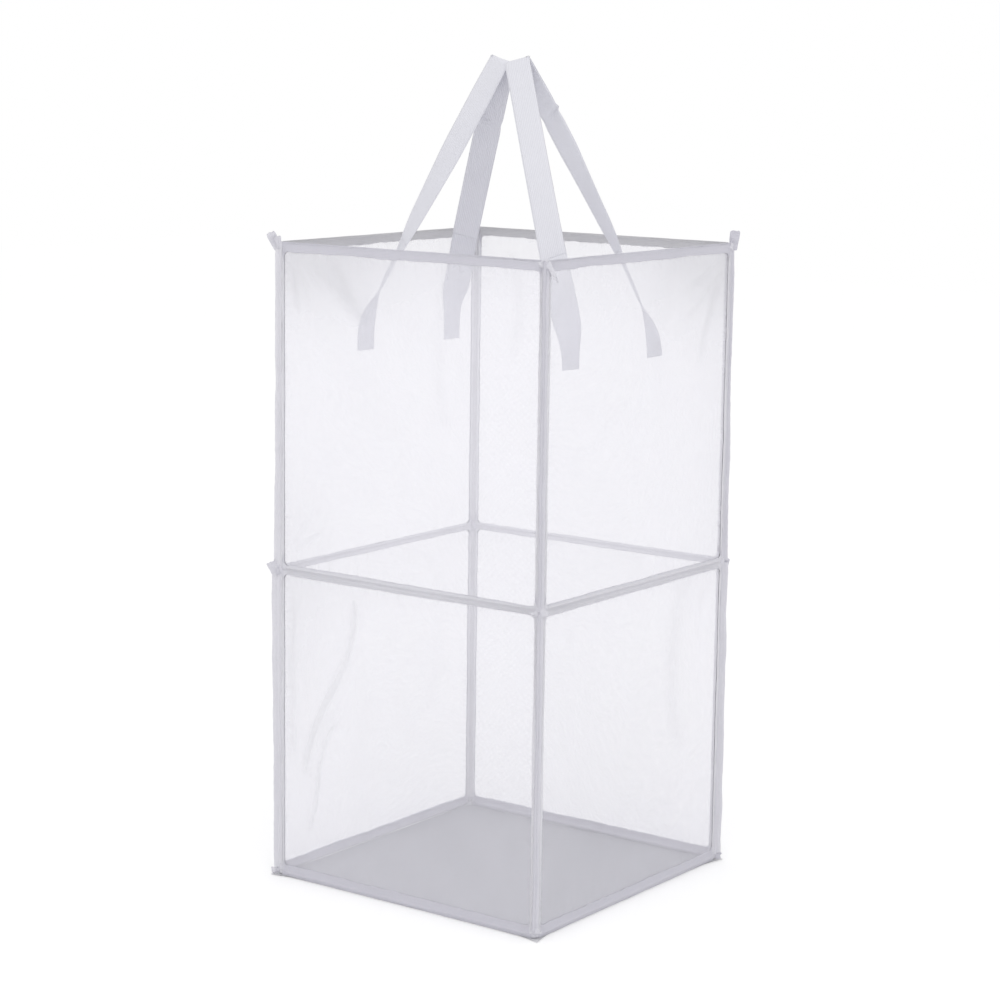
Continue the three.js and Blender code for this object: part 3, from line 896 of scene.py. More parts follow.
def veil_relief(side, tier, along, up):
    """How far the mesh leaves its plane, outwards. It adds a shallow belly, folds fanned out of one
    corner or stood along one side, the folds listed for the panel, crumples, and short puckers where
    the tape gathers it; all are calm at the tape. Also gives the net's painted shade: darker along the
    listed folds, at the puckers and in the listed zones, lighter where a zone's strength is negative."""
    sizes, webbing = held("sizes"), held("webbing")
    half, bottom, top = cell_of(tier)
    low_hem, high_hem = hems_of(side, tier)
    across, share = along / (2 * half) + 0.5, (up - bottom) / (top - bottom)
    seed = 31 * list(SIDES).index(side) + 500 * TIERS.index(tier) + 3
    name = f"{side}_{tier}"
    if name == "front_upper":
        fan = np.sin(10 * np.arctan2(1 - share, across))
        relief = 0.75 * sizes.fold_depth * fan * hump(across) * hump(share)
    elif name == "front_lower":
        bowed = np.sin(8 * np.pi * (across - 0.09 * np.sin(np.pi * share)))
        relief = 0.9 * sizes.fold_depth * bowed * hump(across / 0.6) * hump(share)
    else:
        relief = 2.2 * MM * hump(across) * hump(share)
    beside_tape = CELL_HALF - sizes.side_hem - np.abs(along)
    near = np.minimum.reduce([beside_tape, top - high_hem - up, up - bottom - low_hem])
    painted_shade = np.zeros_like(relief)
    for line, width, height in FOLDS[name]:
        ridge = crease(along, up, line, width, height)
        relief = relief + ridge * smooth((near + 2 * MM) / (9 * MM))
        # Painted shade: darker along each fold, on its hollow more than on its ridge
        painted_shade = np.maximum(painted_shade, np.maximum(-ridge, 0.3 * ridge) / (4 * MM))
    for middle, level, reach, rise, strength in DENSE_AND_SHADED[name]:
        away = ((along - middle * MM) / (reach * MM)) ** 2 + ((up - level * MM) / (rise * MM)) ** 2
        painted_shade = painted_shade + strength * np.exp(-away)
    crumples = 0.4 * crumple(seed, along, up, 25 * MM, 90 * MM, 16)
    crumples = crumples + 0.04 * crumple(seed + 1, along, up, 9 * MM, 22 * MM, 22)
    gather = np.exp(-np.maximum(near, 0) / (7 * MM)) * smooth((near + 1.5 * MM) / (4 * MM))
    puckers = [waver(seed + 2, up, 5 * MM, 13 * MM, 5), waver(seed + 3, along, 5 * MM, 13 * MM, 5)]
    pucker = gather * np.where(beside_tape <= near + 1e-9, *puckers)
    relief = relief + (smooth(near / (14 * MM)) * crumples + 0.4 * pucker) * MM
    sewn = side in ("left", "right") and tier == "upper"
    for place in (-webbing.near_leg, -webbing.far_leg) if sewn else ():
        beside = np.abs(along - place) / (22 * MM)
        height = np.abs(up - (SEWN_BOTTOM + STRAP_PIVOT.z) / 2) / (30 * MM)
        flat = smooth(1.6 - np.maximum(beside, height))
        relief = relief * (1 - flat) - 0.55 * MM * flat
    return relief, np.clip(painted_shade + 0.15 * np.clip(pucker, 0, 1), -1, 1)


def veil(side, tier):
    """One sheet of mesh: a flat grid that fills the tape's window and reaches between its lips, moved
    out of its plane by its relief."""
    _, bottom, top = cell_of(tier)
    reach, low, high = CELL_HALF - VEIL_INSET, bottom + VEIL_INSET, top - VEIL_INSET
    along, up = np.meshgrid(np.linspace(-reach, reach, VEIL_STEPS), np.linspace(low, high, VEIL_STEPS))
    relief, painted_shade = veil_relief(side, tier, along, up)
    points = on_panel(side, along, WALL + relief, up)
    name = f"{side}_{tier}"
    piece = finish(surface(f"{name}_veil", points, np.stack([along, up], -1), shade=painted_shade), sheer_net)
    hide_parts(f"{name}_mesh")
    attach(piece, side)


# ---------------------------------------------------------------- the corners


def blend_between(piece, angle, start, end):
    """Bakes a piece's transform into its mesh; the two points are turned about Z but not used."""
    start, end = (tuple(turned(np.array(point), angle)) for point in (start, end))
    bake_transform(piece)


def between_bodies(piece, corner, reach=1.75 * MM):
    """Bakes the transform of a piece of a corner into its mesh, with points at the given distance to
    either side of the diagonal that go unused; where the ring is open the piece rides on one panel
    instead."""
    angle, (first, second) = CORNERS[corner]
    if corner == OPEN_CORNER:
        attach(piece, second)
        return
    low, high = -PIVOT - 1.35 * MM - reach, -PIVOT - 1.35 * MM + reach
    blend_between(piece, angle, (high, low, 0.3), (low, high, 0.3))


# The distance to either side of a corner's diagonal given for a piece of tape: one that stands
# out along it, and one that lies across it
FIN_BEND = 14 * MM
SIDEWAYS_BEND = 6 * MM
# Each fin of tape: how far it stands out from its fold line, in millimetres, at its foot, middle and
# head, how far its edge lies to one side, and its shade: how much painted light lifts it towards the lit
# tape's colour
FINS = {
    "front_left_lower": ((8.2, 9.0, 10.6), 0.4, 0.5),
    "front_left_upper": ((8.6, 7.0, 6.8), 0.3, 0.6),
    "front_right_lower": ((5.2, 5.6, 6.0), -2.4, 0.1),
    "front_right_upper": ((6.0, 5.8, 6.2), -2.8, 0.05),
    "back_right_lower": ((9.2, 8.6, 8.2), -0.4, 0.35),
    "back_right_upper": ((7.8, 6.4, 5.6), 0.3, 0.15),
    "back_left_lower": ((4.6, 5.0, 5.0), 0.5, 0.9),
    "back_left_upper": ((4.6, 5.0, 4.6), -0.5, 0.9),
}
# Shares of the way from a fin's root to its folded edge, and in millimetres where its root lies and
# half its thickness
FIN_SHARES = np.array([0.0, 0.12, 0.26, 0.38, 0.46, 0.54, 0.66, 0.8, 0.9, 0.96, 0.99, 1.0])
FIN_ROOT, FIN_HALF = 0.9, 0.72


def corner_fin(corner, tier):
    """The folded tape that stands out along a corner. Its section is a flat loop, pinched by a row of
    stitches before its middle and rounded at its fold; carried up the corner it wavers in reach and to
    the side."""
    _, bottom, top = cell_of(tier)
    reaches, aside, shade = FINS[f"{corner}_{tier}"]
    seed = 700 + 30 * list(CORNERS).index(corner) + 5 * TIERS.index(tier)
    foot = 7 * MM if tier == "lower" else bottom + 0.7 * MM
    up = np.linspace(foot, top - 0.5 * MM, 260)[:, None]
    reach = np.interp((up - bottom) / (top - bottom), (0, 0.5, 1), reaches)
    reach = reach + 0.3 * waver(seed, up, 30 * MM, 120 * MM, 5)
    reach = reach + 0.1 * waver(seed + 1, up, 6 * MM, 14 * MM, 5)
    pinch = 1 - 0.45 * np.exp(-(((FIN_SHARES - 0.46) / 0.1) ** 2))
    worn = 1 + 0.12 * crumple(seed + 2, up, FIN_SHARES * 6 * MM, 4 * MM, 12 * MM, 8)
    half = FIN_HALF * pinch * np.sqrt(1 - FIN_SHARES**12) * worn
    sway = 0.7 * waver(seed + 3, up, 50 * MM, 160 * MM, 4)
    sway = sway + 0.16 * waver(seed + 4, up, 9 * MM, 24 * MM, 5)
    middle = (sway + aside) * FIN_SHARES**1.5
    out = FIN_ROOT + (reach - FIN_ROOT) * FIN_SHARES
    beside = np.concatenate([middle + half, (middle - half)[:, ::-1]], 1)
    points = from_corner(corner, np.concatenate([out, out[:, ::-1]], 1), beside, up / MM)
    name = f"{corner}_{tier}_fin"
    piece = taped(tube(name, points, distances(points[0]), up[:, 0], shade=shade))
    between_bodies(piece, corner, FIN_BEND)


STRIP_RADIUS = 3.35 * MM
# A shade is painted light and shade: it runs from -1, painted as dark as the tape's inner face, to 1,
# painted as light as lit tape
STRIP_SHADES = {"front_left": 0.5, "front_right": 0.25, "back_right": 0.25, "back_left": 0.9}
# How far the back panel's strip lies under the right panel's at the open corner
UNDER_STRIP_INSET = 0.3 * MM


def corner_strip(corner, tier, name, body=None, inset=0.0):
    """The strip that joins two panels. Its section is part of a ring about the fold line, from one
    tape's edge to the other, with a valley between; carried up the corner with small crinkles."""
    _, bottom, top = cell_of(tier)
    seed = 900 + 40 * list(CORNERS).index(corner) + 7 * TIERS.index(tier)
    up = np.linspace(bottom + 0.4 * MM, top - 0.4 * MM, 220)[:, None]
    swing = np.linspace(0, 1, 11)[None]
    turn = np.radians(-64 - 142 * swing)
    valley = hump(swing) * (0.55 + 0.25 * np.sin(up / (7 * MM)) * np.sin(up / (23 * MM) + 1))
    crinkle = 0.12 * crumple(seed, up, swing * 6 * MM, 3 * MM, 9 * MM, 8)
    outer = STRIP_RADIUS - inset + (crinkle - valley) * MM
    crinkle = 0.08 * crumple(seed + 1, up, swing * 4 * MM, 4 * MM, 12 * MM, 6)
    inner = (0.85 + 1.9 * (1 - hump(swing)) ** 2 + crinkle) * MM
    radius = np.concatenate([outer, inner[:, ::-2]], 1)
    around = np.concatenate([turn, turn[:, ::-2]], 1)
    drift = 0.15 * MM * waver(seed + 2, up, 30 * MM, 90 * MM, 5)
    x, y = -PIVOT + drift + radius * np.cos(around), -PIVOT - drift + radius * np.sin(around)
    points = turned(np.stack(np.broadcast_arrays(x, y, up), -1), CORNERS[corner][0])
    piece = taped(tube(name, points, distances(points[0]), up[:, 0], shade=STRIP_SHADES[corner]))
    if body:
        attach(piece, body)
    else:
        between_bodies(piece, corner)
    return piece


# Crumpled tape ends, in millimetres. Each leaf: three directions given as outwards on the
# diagonal, sideways and up: its root from the fold line, the way it grows, and half its height
LEAVES = {
    "front_left_top": ((4.2, 0.2, 597), (7.4, 0.6, 15.5), (3.3, 0.2, -1.5)),
    "front_left_top_under": ((2.6, 0.8, 598), (3.0, 3.2, 11.5), (2.6, 0.4, -0.8)),
    "front_right_top": ((4.0, 0.6, 603), (1.0, 9.0, -17), (0.5, 2.1, 1.2)),
    "front_right_top_under": ((3.4, 1.5, 601.5), (1.0, -8.5, -1.0), (0.8, -0.6, 4.6)),
    "back_right_top": ((4.2, 0, 597), (2.2, 0, 18.5), (4.1, 0, -0.2)),
    "back_left_top": ((3.7, 0, 597), (2.5, 0, 9), (2.9, 0, -0.8)),
    "front_left_middle": ((6.4, 0.4, 294), (5.2, 1.0, 11.0), (3.6, 0, -1.6)),
    "front_left_middle_under": ((2.2, 1.2, 298), (3.6, 4.4, -4.2), (0.6, 0.4, 3.6)),
    "front_right_middle": ((3.6, 0.6, 298), (0.4, 7.4, -1.4), (0.3, 0.8, 3.2)),
    "front_right_middle_under": ((3.4, -0.8, 297.5), (0.4, -7.6, -1.6), (0.3, -0.7, 3.4)),
    "back_right_middle": ((4.2, 0, 293), (2.6, 0.8, 8.5), (3.5, 0, -0.9)),
    "back_left_middle": ((3.2, 0, 294), (1.8, 0.6, 7), (2.6, 0, -0.6)),
    "front_left_bottom": ((3.4, -0.4, 5.0), (7.2, -1, -1.6), (0.8, 0.4, 2.9)),
    "front_right_bottom": ((3.2, 0.6, 8.4), (1.4, 4.6, -1.6), (0.4, 0.9, 2.2)),
    "front_right_bottom_under": ((3.2, -0.8, 8), (1.2, -4.8, -1.2), (0.4, -0.9, 2.2)),
    "back_right_bottom": ((3.4, 0.4, 5.0), (6.0, 1, -1.6), (0.8, 0.3, 2.9)),
    "back_left_bottom": ((3.2, 0, 5.0), (5.0, -1, -1.6), (0.8, 0, 2.8)),
}
LEAF_THICKNESS = 0.9
# The rows of points whose girths the UV maps of leaves and knots take
LEAF_GIRTH_ROW, KNOT_GIRTH_ROW = 12, 20
# How much painted light lifts the loose tape ends of each corner
LEAF_SHADES = {"front_left": 0.35, "front_right": 0.35, "back_right": 0.0, "back_left": 0.5}
# A leaf that grows further to one side than this, in millimetres, tapers
SIDEWAYS_GROWTH = 4
# Nothing of a corner hangs lower than this, in millimetres
LOWEST = 0.3


def tape_leaf(name):
    """A loose end of tape. A flat sheet grows from its root and widens a little, is folded along its
    middle and pushed out of its plane by soft creases, and gets its thickness from closed rings round
    it; its far end is cut square and a little frayed."""
    corner = "_".join(name.split("_")[:2])
    root, grows, half = (np.array(part, float) for part in LEAVES[name])
    seed = 1500 + 13 * list(LEAVES).index(name)
    sideways = abs(grows[1]) > SIDEWAYS_GROWTH
    reach, tall = np.linalg.norm(grows), np.linalg.norm(half)
    facing = np.cross(grows, half) / (reach * tall)
    share = np.linspace(0, 1, 34)[:, None]
    turn = np.linspace(0, 2 * np.pi, 56, endpoint=False)[None]
    level = np.sin(turn) + 0 * share
    closing = np.sqrt((1 - share**16) * (1 - (1 - share) ** 16))
    spread = 1 + (-0.62 if sideways else 0.22) * share**1.5 + 0.05 * waver(seed, share * 10, 4, 9, 4)
    place, height = share * reach, level * tall
    push = 0.32 * crumple(seed + 1, place, height, 6, 14, 6)
    push = push + 0.22 * ridges(seed + 2, place, height, 5, 11, 4)
    push = push * smooth(share * 2.0) + 0.28 * tall * np.abs(level) ** 1.5 * share
    frayed = 0.3 * waver(seed + 3, height, 2, 6, 5) * smooth((share - 0.45) * 1.8)
    wall = LEAF_THICKNESS / 2 * np.cos(turn) * closing * (0.6 + 0.4 * np.abs(np.cos(turn)))
    points = (
        root + grows * (share + frayed / reach)[..., None]
        + half * (level * spread * (0.75 + 0.25 * closing))[..., None]
        + facing * (push + wall)[..., None]
    )
    points = from_corner(corner, points[..., 0], points[..., 1], np.maximum(points[..., 2], LOWEST))
    shade = LEAF_SHADES[corner]
    along = share[:, 0] * reach * MM
    piece = taped(tube(f"{name}_tape_end", points, distances(points[LEAF_GIRTH_ROW]), along, shade=shade))
    if name.endswith("_top"):
        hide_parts(f"{corner}_tape_tail")
    between_bodies(piece, corner, SIDEWAYS_BEND if sideways else FIN_BEND)


# Where the tapes of a corner are gathered: height, half height, outward and sideways reach in millimetres
KNOTS = {"top": (600.3, 4.0, 2.4, 3.6), "middle": (298, 5.6, 2.4, 3.6), "bottom": (8.0, 3.2, 2.3, 3.3)}
# How far a knot's middle lies from the fold line, in millimetres
KNOT_OUT = 1.7


def tape_knot(corner, place):
    """A gathered knot of tape over a corner: a rounded box whose surface is pushed out by sharp creases
    that run up and across it."""
    level, tall, reach, beside = KNOTS[place]
    seed = 2500 + 17 * list(CORNERS).index(corner) + 5 * list(KNOTS).index(place)
    polar = np.linspace(0.02, np.pi - 0.02, 44)[:, None]
    turn = np.linspace(0, 2 * np.pi, 60, endpoint=False)[None]
    around = np.stack(np.broadcast_arrays(
        np.sin(polar) * np.cos(turn), np.sin(polar) * np.sin(turn), np.cos(polar)
    ), -1)
    body = np.sign(around) * np.abs(around) ** 0.75 * np.array([reach, beside, tall])
    push = 0.34 * ridges(seed, body[..., 1] + 0.5 * body[..., 0], 0.5 * body[..., 2], 5, 12, 5)
    out, aside, up = np.moveaxis(body + around * push[..., None], -1, 0)
    points = from_corner(corner, KNOT_OUT + out, aside, np.maximum(level + up, LOWEST))
    along = polar[:, 0] * tall * MM
    name = f"{corner}_{place}_knot"
    # Every knot is lifted a little by painted light
    piece = taped(tube(name, points, distances(points[KNOT_GIRTH_ROW]), along, seam=0.5 * MM, shade=0.3))
    between_bodies(piece, corner)


# ---------------------------------------------------------------- the base

# How far the base lies inside the panels' middle, and how much further its left edge reaches, under
# the left panel's tape
BASE_INSET = 1.6 * MM
BASE_TUCK = 2.2 * MM
BASE_STEPS = 170
BASE_THICKNESS = 0.5 * MM


def base_sheet():
    """The cloth base: a square grid whose corners are drawn out to points, a little wavy, lying on the
    floor. Its height is half the cloth plus a crumple that dies away at the edge. Its left edge reaches
    under the left panel's tape."""
    half = WALL - BASE_INSET
    drawn_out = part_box("base_cloth")[1].x - half
    steps = np.linspace(-1, 1, BASE_STEPS)
    across, along = np.meshgrid(steps, steps)
    drawn = 1 + drawn_out / half * (across * along) ** 10
    x, y = half * across * drawn, half * along * drawn
    under_tape = smooth((-across - 0.94) / 0.06) * smooth((1 - np.abs(along)) * half / (7 * MM))
    x = x - BASE_TUCK * under_tape
    inside = smooth((1 - np.maximum(np.abs(across), np.abs(along))) * half / (12 * MM))
    lift = crumple(41, x, y, 40 * MM, 160 * MM, 14) + 0.4 * crumple(42, x, y, 12 * MM, 40 * MM, 14)
    z = np.clip(0.85 + 0.22 * lift * (0.35 + 0.65 * inside), 0.5, 1.5) * MM
    # Painted light: the drawn-out tips are lifted to the lit tape's colour
    tips = np.abs(across * along) ** 24
    piece = surface("base_sheet", np.stack([x, y, z], -1), np.stack([x, y], -1), shade=tips)
    wall = piece.modifiers.new("cloth thickness", "SOLIDIFY")
    wall.thickness = BASE_THICKNESS
    wall.offset = -1
    finish(piece, woven_base)
    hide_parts("base_cloth")
    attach(piece, "front")
    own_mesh(piece)


# ---------------------------------------------------------------- the handles

# Each handle is drawn on the left and turned into place: its angle, and its near and its far leg
HANDLES = {"left": (0.0, "front", "back"), "right": (math.pi, "back", "front")}
# How far the middle of the webbing lies outwards of its strap's hinge, and the thickness of its solids
WEBBING_DEPTH = 0.6 * MM
SOLID_THICKNESS = 1.2 * MM
# The grip's hinge lies on the webbing's outer face, its thickness behind the plane it leans in
GRIP_REACH = GRIP_PIVOT - STRAP_PIVOT
LEAN = math.atan2(GRIP_REACH.x, GRIP_REACH.z) + math.asin(SOLID_THICKNESS / GRIP_REACH.length)
IN_PLANE_UP = np.array([math.sin(LEAN), 0, math.cos(LEAN)])
PLANE_INWARDS = np.array([math.cos(LEAN), 0, -math.sin(LEAN)])
INWARDS, SIDEWAYS, UPWARDS = np.eye(3)
# Where the two ends of a handle overlap, by the distance from one end of the loop
LAP = (98 * MM, 139 * MM)
# How far the top of a leg runs on inside the loop
TUCK = 5 * MM
# The right handle is sewn on a little higher than the left
SEWN_FEET = {"left": SEWN_BOTTOM, "right": SEWN_BOTTOM + 13 * MM}
# The pitch, length and thickness of the stitches of a sewn end
END_PITCH, END_LENGTH, END_THICKNESS = 2.6 * MM, 1.9 * MM, 0.4 * MM
# Heights between which a leg turns into its strap, and a strap into its grip
STRAP_BEND = (524 * MM, 540 * MM)
GRIP_BEND = (607 * MM, 640 * MM)
# How far each leg of webbing has turned edge on, in degrees, by its height in millimetres above the
# line where it leaves its panel; the last height is the crest's
TWISTS = {
    ("left", "front"): (
        (-24, -6, 4, 14, 22, 30, 60, 68, 81, 89, 102, 122, 141, 159, 210, 252),
        (0, 2, 8, 18, 29, 39, 43, 50, 56, 62, 66, 72, 78, 84, 84, 77),
    ),
    ("left", "back"): (
        (-24, -6, 2, 10, 18, 28, 60, 100, 160, 200, 252),
        (0, 2, 8, 24, 42, 52, 54, 56, 58, 63, 77),
    ),
    ("right", "back"): (
        (-24, -6, 4, 14, 22, 30, 60, 70, 84, 97, 109, 127, 145, 163, 210, 252),
        (0, 2, 8, 18, 29, 36, 38, 47, 54, 59, 61, 65, 70, 77, 78, 73),
    ),
    ("right", "front"): ((-24, -6, 4, 14, 28, 60, 100, 160, 252), (0, 3, 12, 30, 52, 66, 73, 74, 73)),
}
# How far each leg bows away from the straight line to its crest, by height, both in millimetres
BOWS = {
    ("left", "front"): ((0, 30, 80, 160, 252), (0, 0, -2.2, -2.5, -2.6)),
    ("left", "back"): ((0, 30, 80, 160, 252), (0, 0, -3.2, -3.6, -2.6)),
    ("right", "back"): ((0, 25, 80, 160, 205, 252), (2.4, 1.6, -4.6, -5.4, -3.6, 0.8)),
    ("right", "front"): ((0, 30, 80, 160, 252), (0, 0, 1.8, 1.7, 0.8)),
}


def eased(table, height):
    """A table of values by height, in millimetres, read at a height in metres and smoothed."""
    offsets = np.linspace(-6, 6, 9) * MM
    return np.mean([np.interp((height + offset) / MM, *table) for offset in offsets], axis=0)


def webbing_tube(name, centres, across, through, width, thick, along, pucker=0.0):
    """Webbing swept along its centres: a flat section with rounded edges, 13 points to a face. A pucker
    moves both faces off the centres."""
    share = np.linspace(-1, 1, 13)
    rounded = np.maximum(np.sqrt(1 - np.abs(share) ** 14) * 0.5, 0.08)
    wide = np.concatenate([share, share[::-1]]) / 2 * width[:, None]
    deep = np.concatenate([rounded, -rounded]) * thick[:, None] + pucker
    points = centres[:, None] + across[:, None] * wide[..., None] + through[:, None] * deep[..., None]
    girth = np.concatenate([share, 2 + share]) * width.mean() / 2
    piece = finish(tube(name, points, girth, along, seam=thick.mean()), ribbed_webbing)
    return piece


def join_level():
    """How far up the leaning plane a strap passes into the loop."""
    return (held("webbing").join - STRAP_PIVOT.z) / math.cos(LEAN)


def leaning(level, offset):
    """A point of a leg in the leaning plane. Both legs aim at one point above the crest, so the offset
    shrinks in proportion to the level."""
    webbing = held("webbing")
    share = level / (webbing.crest + webbing.rounding)
    return (
        np.array(STRAP_PIVOT) - WEBBING_DEPTH * PLANE_INWARDS
        + level[:, None] * IN_PLANE_UP + (offset * (1 - share))[:, None] * SIDEWAYS
    )


def swept_frame(centres, side_out, twist):
    """Width and thickness directions of webbing: flat in the plane of the path and the sideways line,
    then turned about the path by the twist, towards the inside of the hamper."""
    ahead = unit(np.gradient(centres, axis=0))
    normal = unit(side_out - ahead * np.sum(side_out * ahead, -1, keepdims=True))
    flat = np.cross(normal, ahead)
    across = flat * np.cos(twist)[:, None] + normal * np.sin(twist)[:, None]
    return across, unit(np.cross(ahead, across))


def lower_leg(handle, leg, offset):
    """The sewn end and the strap above it. The path climbs straight up the panel, then bends in on a
    parabola that meets the panel's plane and the leaning plane at equal distances from the pivot. Its
    top runs on inside the loop, a little thinner."""
    webbing, turn, join = held("webbing"), HANDLES[handle][0], join_level()
    bend = webbing.bend
    run = np.linspace(SEWN_FEET[handle] - STRAP_PIVOT.z, join + TUCK, 120)
    inwards = np.where(run > bend, run, np.where(run > -bend, (run + bend) ** 2 / (4 * bend), 0))
    foot = np.array(STRAP_PIVOT) - WEBBING_DEPTH * INWARDS + offset * SIDEWAYS
    rest = leaning(np.array([0.0, join]), offset)
    lean_way = (rest[1] - rest[0]) / join - UPWARDS
    centres = foot + run[:, None] * UPWARDS + inwards[:, None] * lean_way
    centres = centres + (rest[0] - foot) * smooth(run / join)[:, None]
    height = centres[:, 2] - STRAP_PIVOT.z
    centres = centres + eased(BOWS[handle, leg], height)[:, None] * MM * SIDEWAYS
    twist = np.radians(eased(TWISTS[handle, leg], height))
    slope = np.clip((run + bend) / (2 * bend), 0, 1)[:, None]
    side_in = unit(INWARDS * (1 - slope) + PLANE_INWARDS * slope)
    across, through = swept_frame(centres, side_in, twist if offset < 0 else -twist)
    tucked = smooth((run - join) / (0.6 * MM) + 1)
    width = webbing.width * (1 + 0.006 * ripple(7, run / join * 6, (2, 5))) - 0.24 * MM * tucked
    thick = webbing.thickness * (1 - 0.1 * tucked)
    parts = [turned(part, turn) for part in (centres, across, through)]
    piece = webbing_tube(f"{handle}_handle_{leg}_leg", *parts, width, thick, run)
    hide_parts(f"{handle}_handle_{leg}_end", f"{handle}_handle_{leg}_strap")
    start, end = ((STRAP_PIVOT.x, 0, level) for level in STRAP_BEND)
    blend_between(piece, turn, start, end)
    end_stitches(handle, leg, offset + BOWS[handle, leg][1][0] * MM)


def end_stitches(handle, leg, offset):
    """A stitched box with a cross in it, on the inner face of a sewn end."""
    wide, low, high = 9 * MM, SEWN_FEET[handle] + 2.5 * MM, SEWN_FEET[handle] + 12 * MM
    face = STRAP_PIVOT.x - WEBBING_DEPTH + held("webbing").thickness / 2
    box = [(-wide, low), (wide, low), (wide, high), (-wide, high), (-wide, low), (wide, high)]
    parts = []
    for path in (np.array(box), np.array([(wide, low), (-wide, high)])):
        at = spaced(path, END_PITCH)
        beside, up = at_distance(path, at).T
        ahead, climb = np.diff(path, axis=0)[np.searchsorted(distances(path), at) - 1].T
        centres = np.stack([face + 0 * at, offset + beside, up], -1)
        parts.append((centres, np.stack([0 * at, ahead, climb], -1), INWARDS + 0 * centres))
    parts = [turned(np.concatenate(part), HANDLES[handle][0]) for part in zip(*parts)]
    piece = stitches(f"{handle}_handle_{leg}_stitching", *parts, END_LENGTH, END_THICKNESS)
    finish(piece, sewing_thread)
    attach(piece, handle)


def carrying_loop(handle):
    """The loop from the join of one leg to that of the other: up the leaning plane, over the crest on a
    quadratic curve whose control point is where the legs aim, and down again. It turns edge on as it
    climbs. Its two ends overlap on one leg, with a pucker where the lap stops."""
    webbing, (turn, near, far) = held("webbing"), HANDLES[handle]
    rise = np.linspace(join_level(), webbing.crest - webbing.rounding, 130)
    up_leg, down_leg = leaning(rise, webbing.near_leg), leaning(rise, webbing.far_leg)[::-1]
    peak = leaning(np.array([webbing.crest + webbing.rounding]), 0.0)[0]
    share = np.linspace(0, 1, 42)[1:-1, None]
    over = up_leg[-1] * (1 - share) ** 2 + 2 * peak * share * (1 - share) + down_leg[0] * share**2
    centres = np.concatenate([up_leg, over, down_leg])
    height = centres[:, 2] - STRAP_PIVOT.z
    first = np.arange(len(centres)) < len(centres) / 2
    twist, bow = (
        np.where(first, eased(table[handle, near], height), eased(table[handle, far], height))
        for table in (TWISTS, BOWS)
    )
    across, through = swept_frame(centres, PLANE_INWARDS + 0 * centres, np.radians(twist))
    centres = centres + bow[:, None] * MM * SIDEWAYS
    run = distances(centres)
    along = run if handle == "right" else run[-1] - run
    lapped = smooth((along - LAP[0]) / (2 * MM)) * smooth((LAP[1] - along) / (2 * MM))
    face = np.linspace(-1, 1, 13)
    face = np.concatenate([face, face[::-1]])
    line = (along[:, None] - LAP[1] + 4.5 * MM * face) / (1.9 * MM)
    pucker = -2.4 * MM * np.exp(-(line**2)) * smooth(0.6 - 0.8 * face)
    width = webbing.width - 1.6 * MM * np.exp(-(((along - LAP[1]) / (5 * MM)) ** 2))
    thick = webbing.thickness * (1 + 0.6 * lapped)
    parts = [turned(part, turn) for part in (centres, across, through)]
    piece = webbing_tube(f"{handle}_handle_loop", *parts, width, thick, run, pucker)
    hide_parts(f"{handle}_handle_grip")
    start, end = ((GRIP_PIVOT.x, 0, level) for level in GRIP_BEND)
    blend_between(piece, turn, start, end)


# ---------------------------------------------------------------- operators


class HAMPER_OT_mesh_panels(bpy.types.Operator):
    """Make the eight sheets of mesh, with their folds"""

    bl_idname = "hamper.mesh_panels"
    bl_label = "Mesh panels"

    def execute(self, context):
        for cell in CELLS:
            veil(*cell)
        return {"FINISHED"}


class HAMPER_OT_binding_tapes(bpy.types.Operator):
    """Make the folded tape round each of the eight cells"""

    bl_idname = "hamper.binding_tapes"
    bl_label = "Binding tapes"

    def execute(self, context):
        for cell in CELLS:
            binding(*cell)
        return {"FINISHED"}


class HAMPER_OT_tape_stitching(bpy.types.Operator):
    """Make the stitches along the tapes"""

    bl_idname = "hamper.tape_stitching"
    bl_label = "Tape stitching"

    def execute(self, context):
        for cell in CELLS:
            binding_stitches(*cell)
        return {"FINISHED"}


class HAMPER_OT_corner_seams(bpy.types.Operator):
    """Make the strips that join the panels down the corners, and the crumpled tape ends"""

    bl_idname = "hamper.corner_seams"
    bl_label = "Corner seams"

    def execute(self, context):
        under, over = CORNERS[OPEN_CORNER][1]
        for corner in CORNERS:
            for tier in TIERS:
                body = over if corner == OPEN_CORNER else None
                strip = corner_strip(corner, tier, f"{corner}_{tier}_strip", body)
                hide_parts(f"{corner}_{tier}_seam")
        for tier in TIERS:
            name = f"{OPEN_CORNER}_{tier}_under_strip"
            corner_strip(OPEN_CORNER, tier, name, under, UNDER_STRIP_INSET)
        for corner in CORNERS:
            for tier in TIERS:
                corner_fin(corner, tier)
            for place in KNOTS:
                tape_knot(corner, place)
        for name in LEAVES:
            tape_leaf(name)
        return {"FINISHED"}


class HAMPER_OT_base_cloth(bpy.types.Operator):
    """Make the cloth base"""

    bl_idname = "hamper.base_cloth"
    bl_label = "Base cloth"

    def execute(self, context):
        base_sheet()
        return {"FINISHED"}


class HAMPER_OT_handles(bpy.types.Operator):
    """Make the two webbing handles"""

    bl_idname = "hamper.handles"
    bl_label = "Handles"

    def execute(self, context):
        webbing = held("webbing")
        for handle, (_, near, far) in HANDLES.items():
            lower_leg(handle, near, webbing.near_leg)
            lower_leg(handle, far, webbing.far_leg)
            carrying_loop(handle)
        return {"FINISHED"}


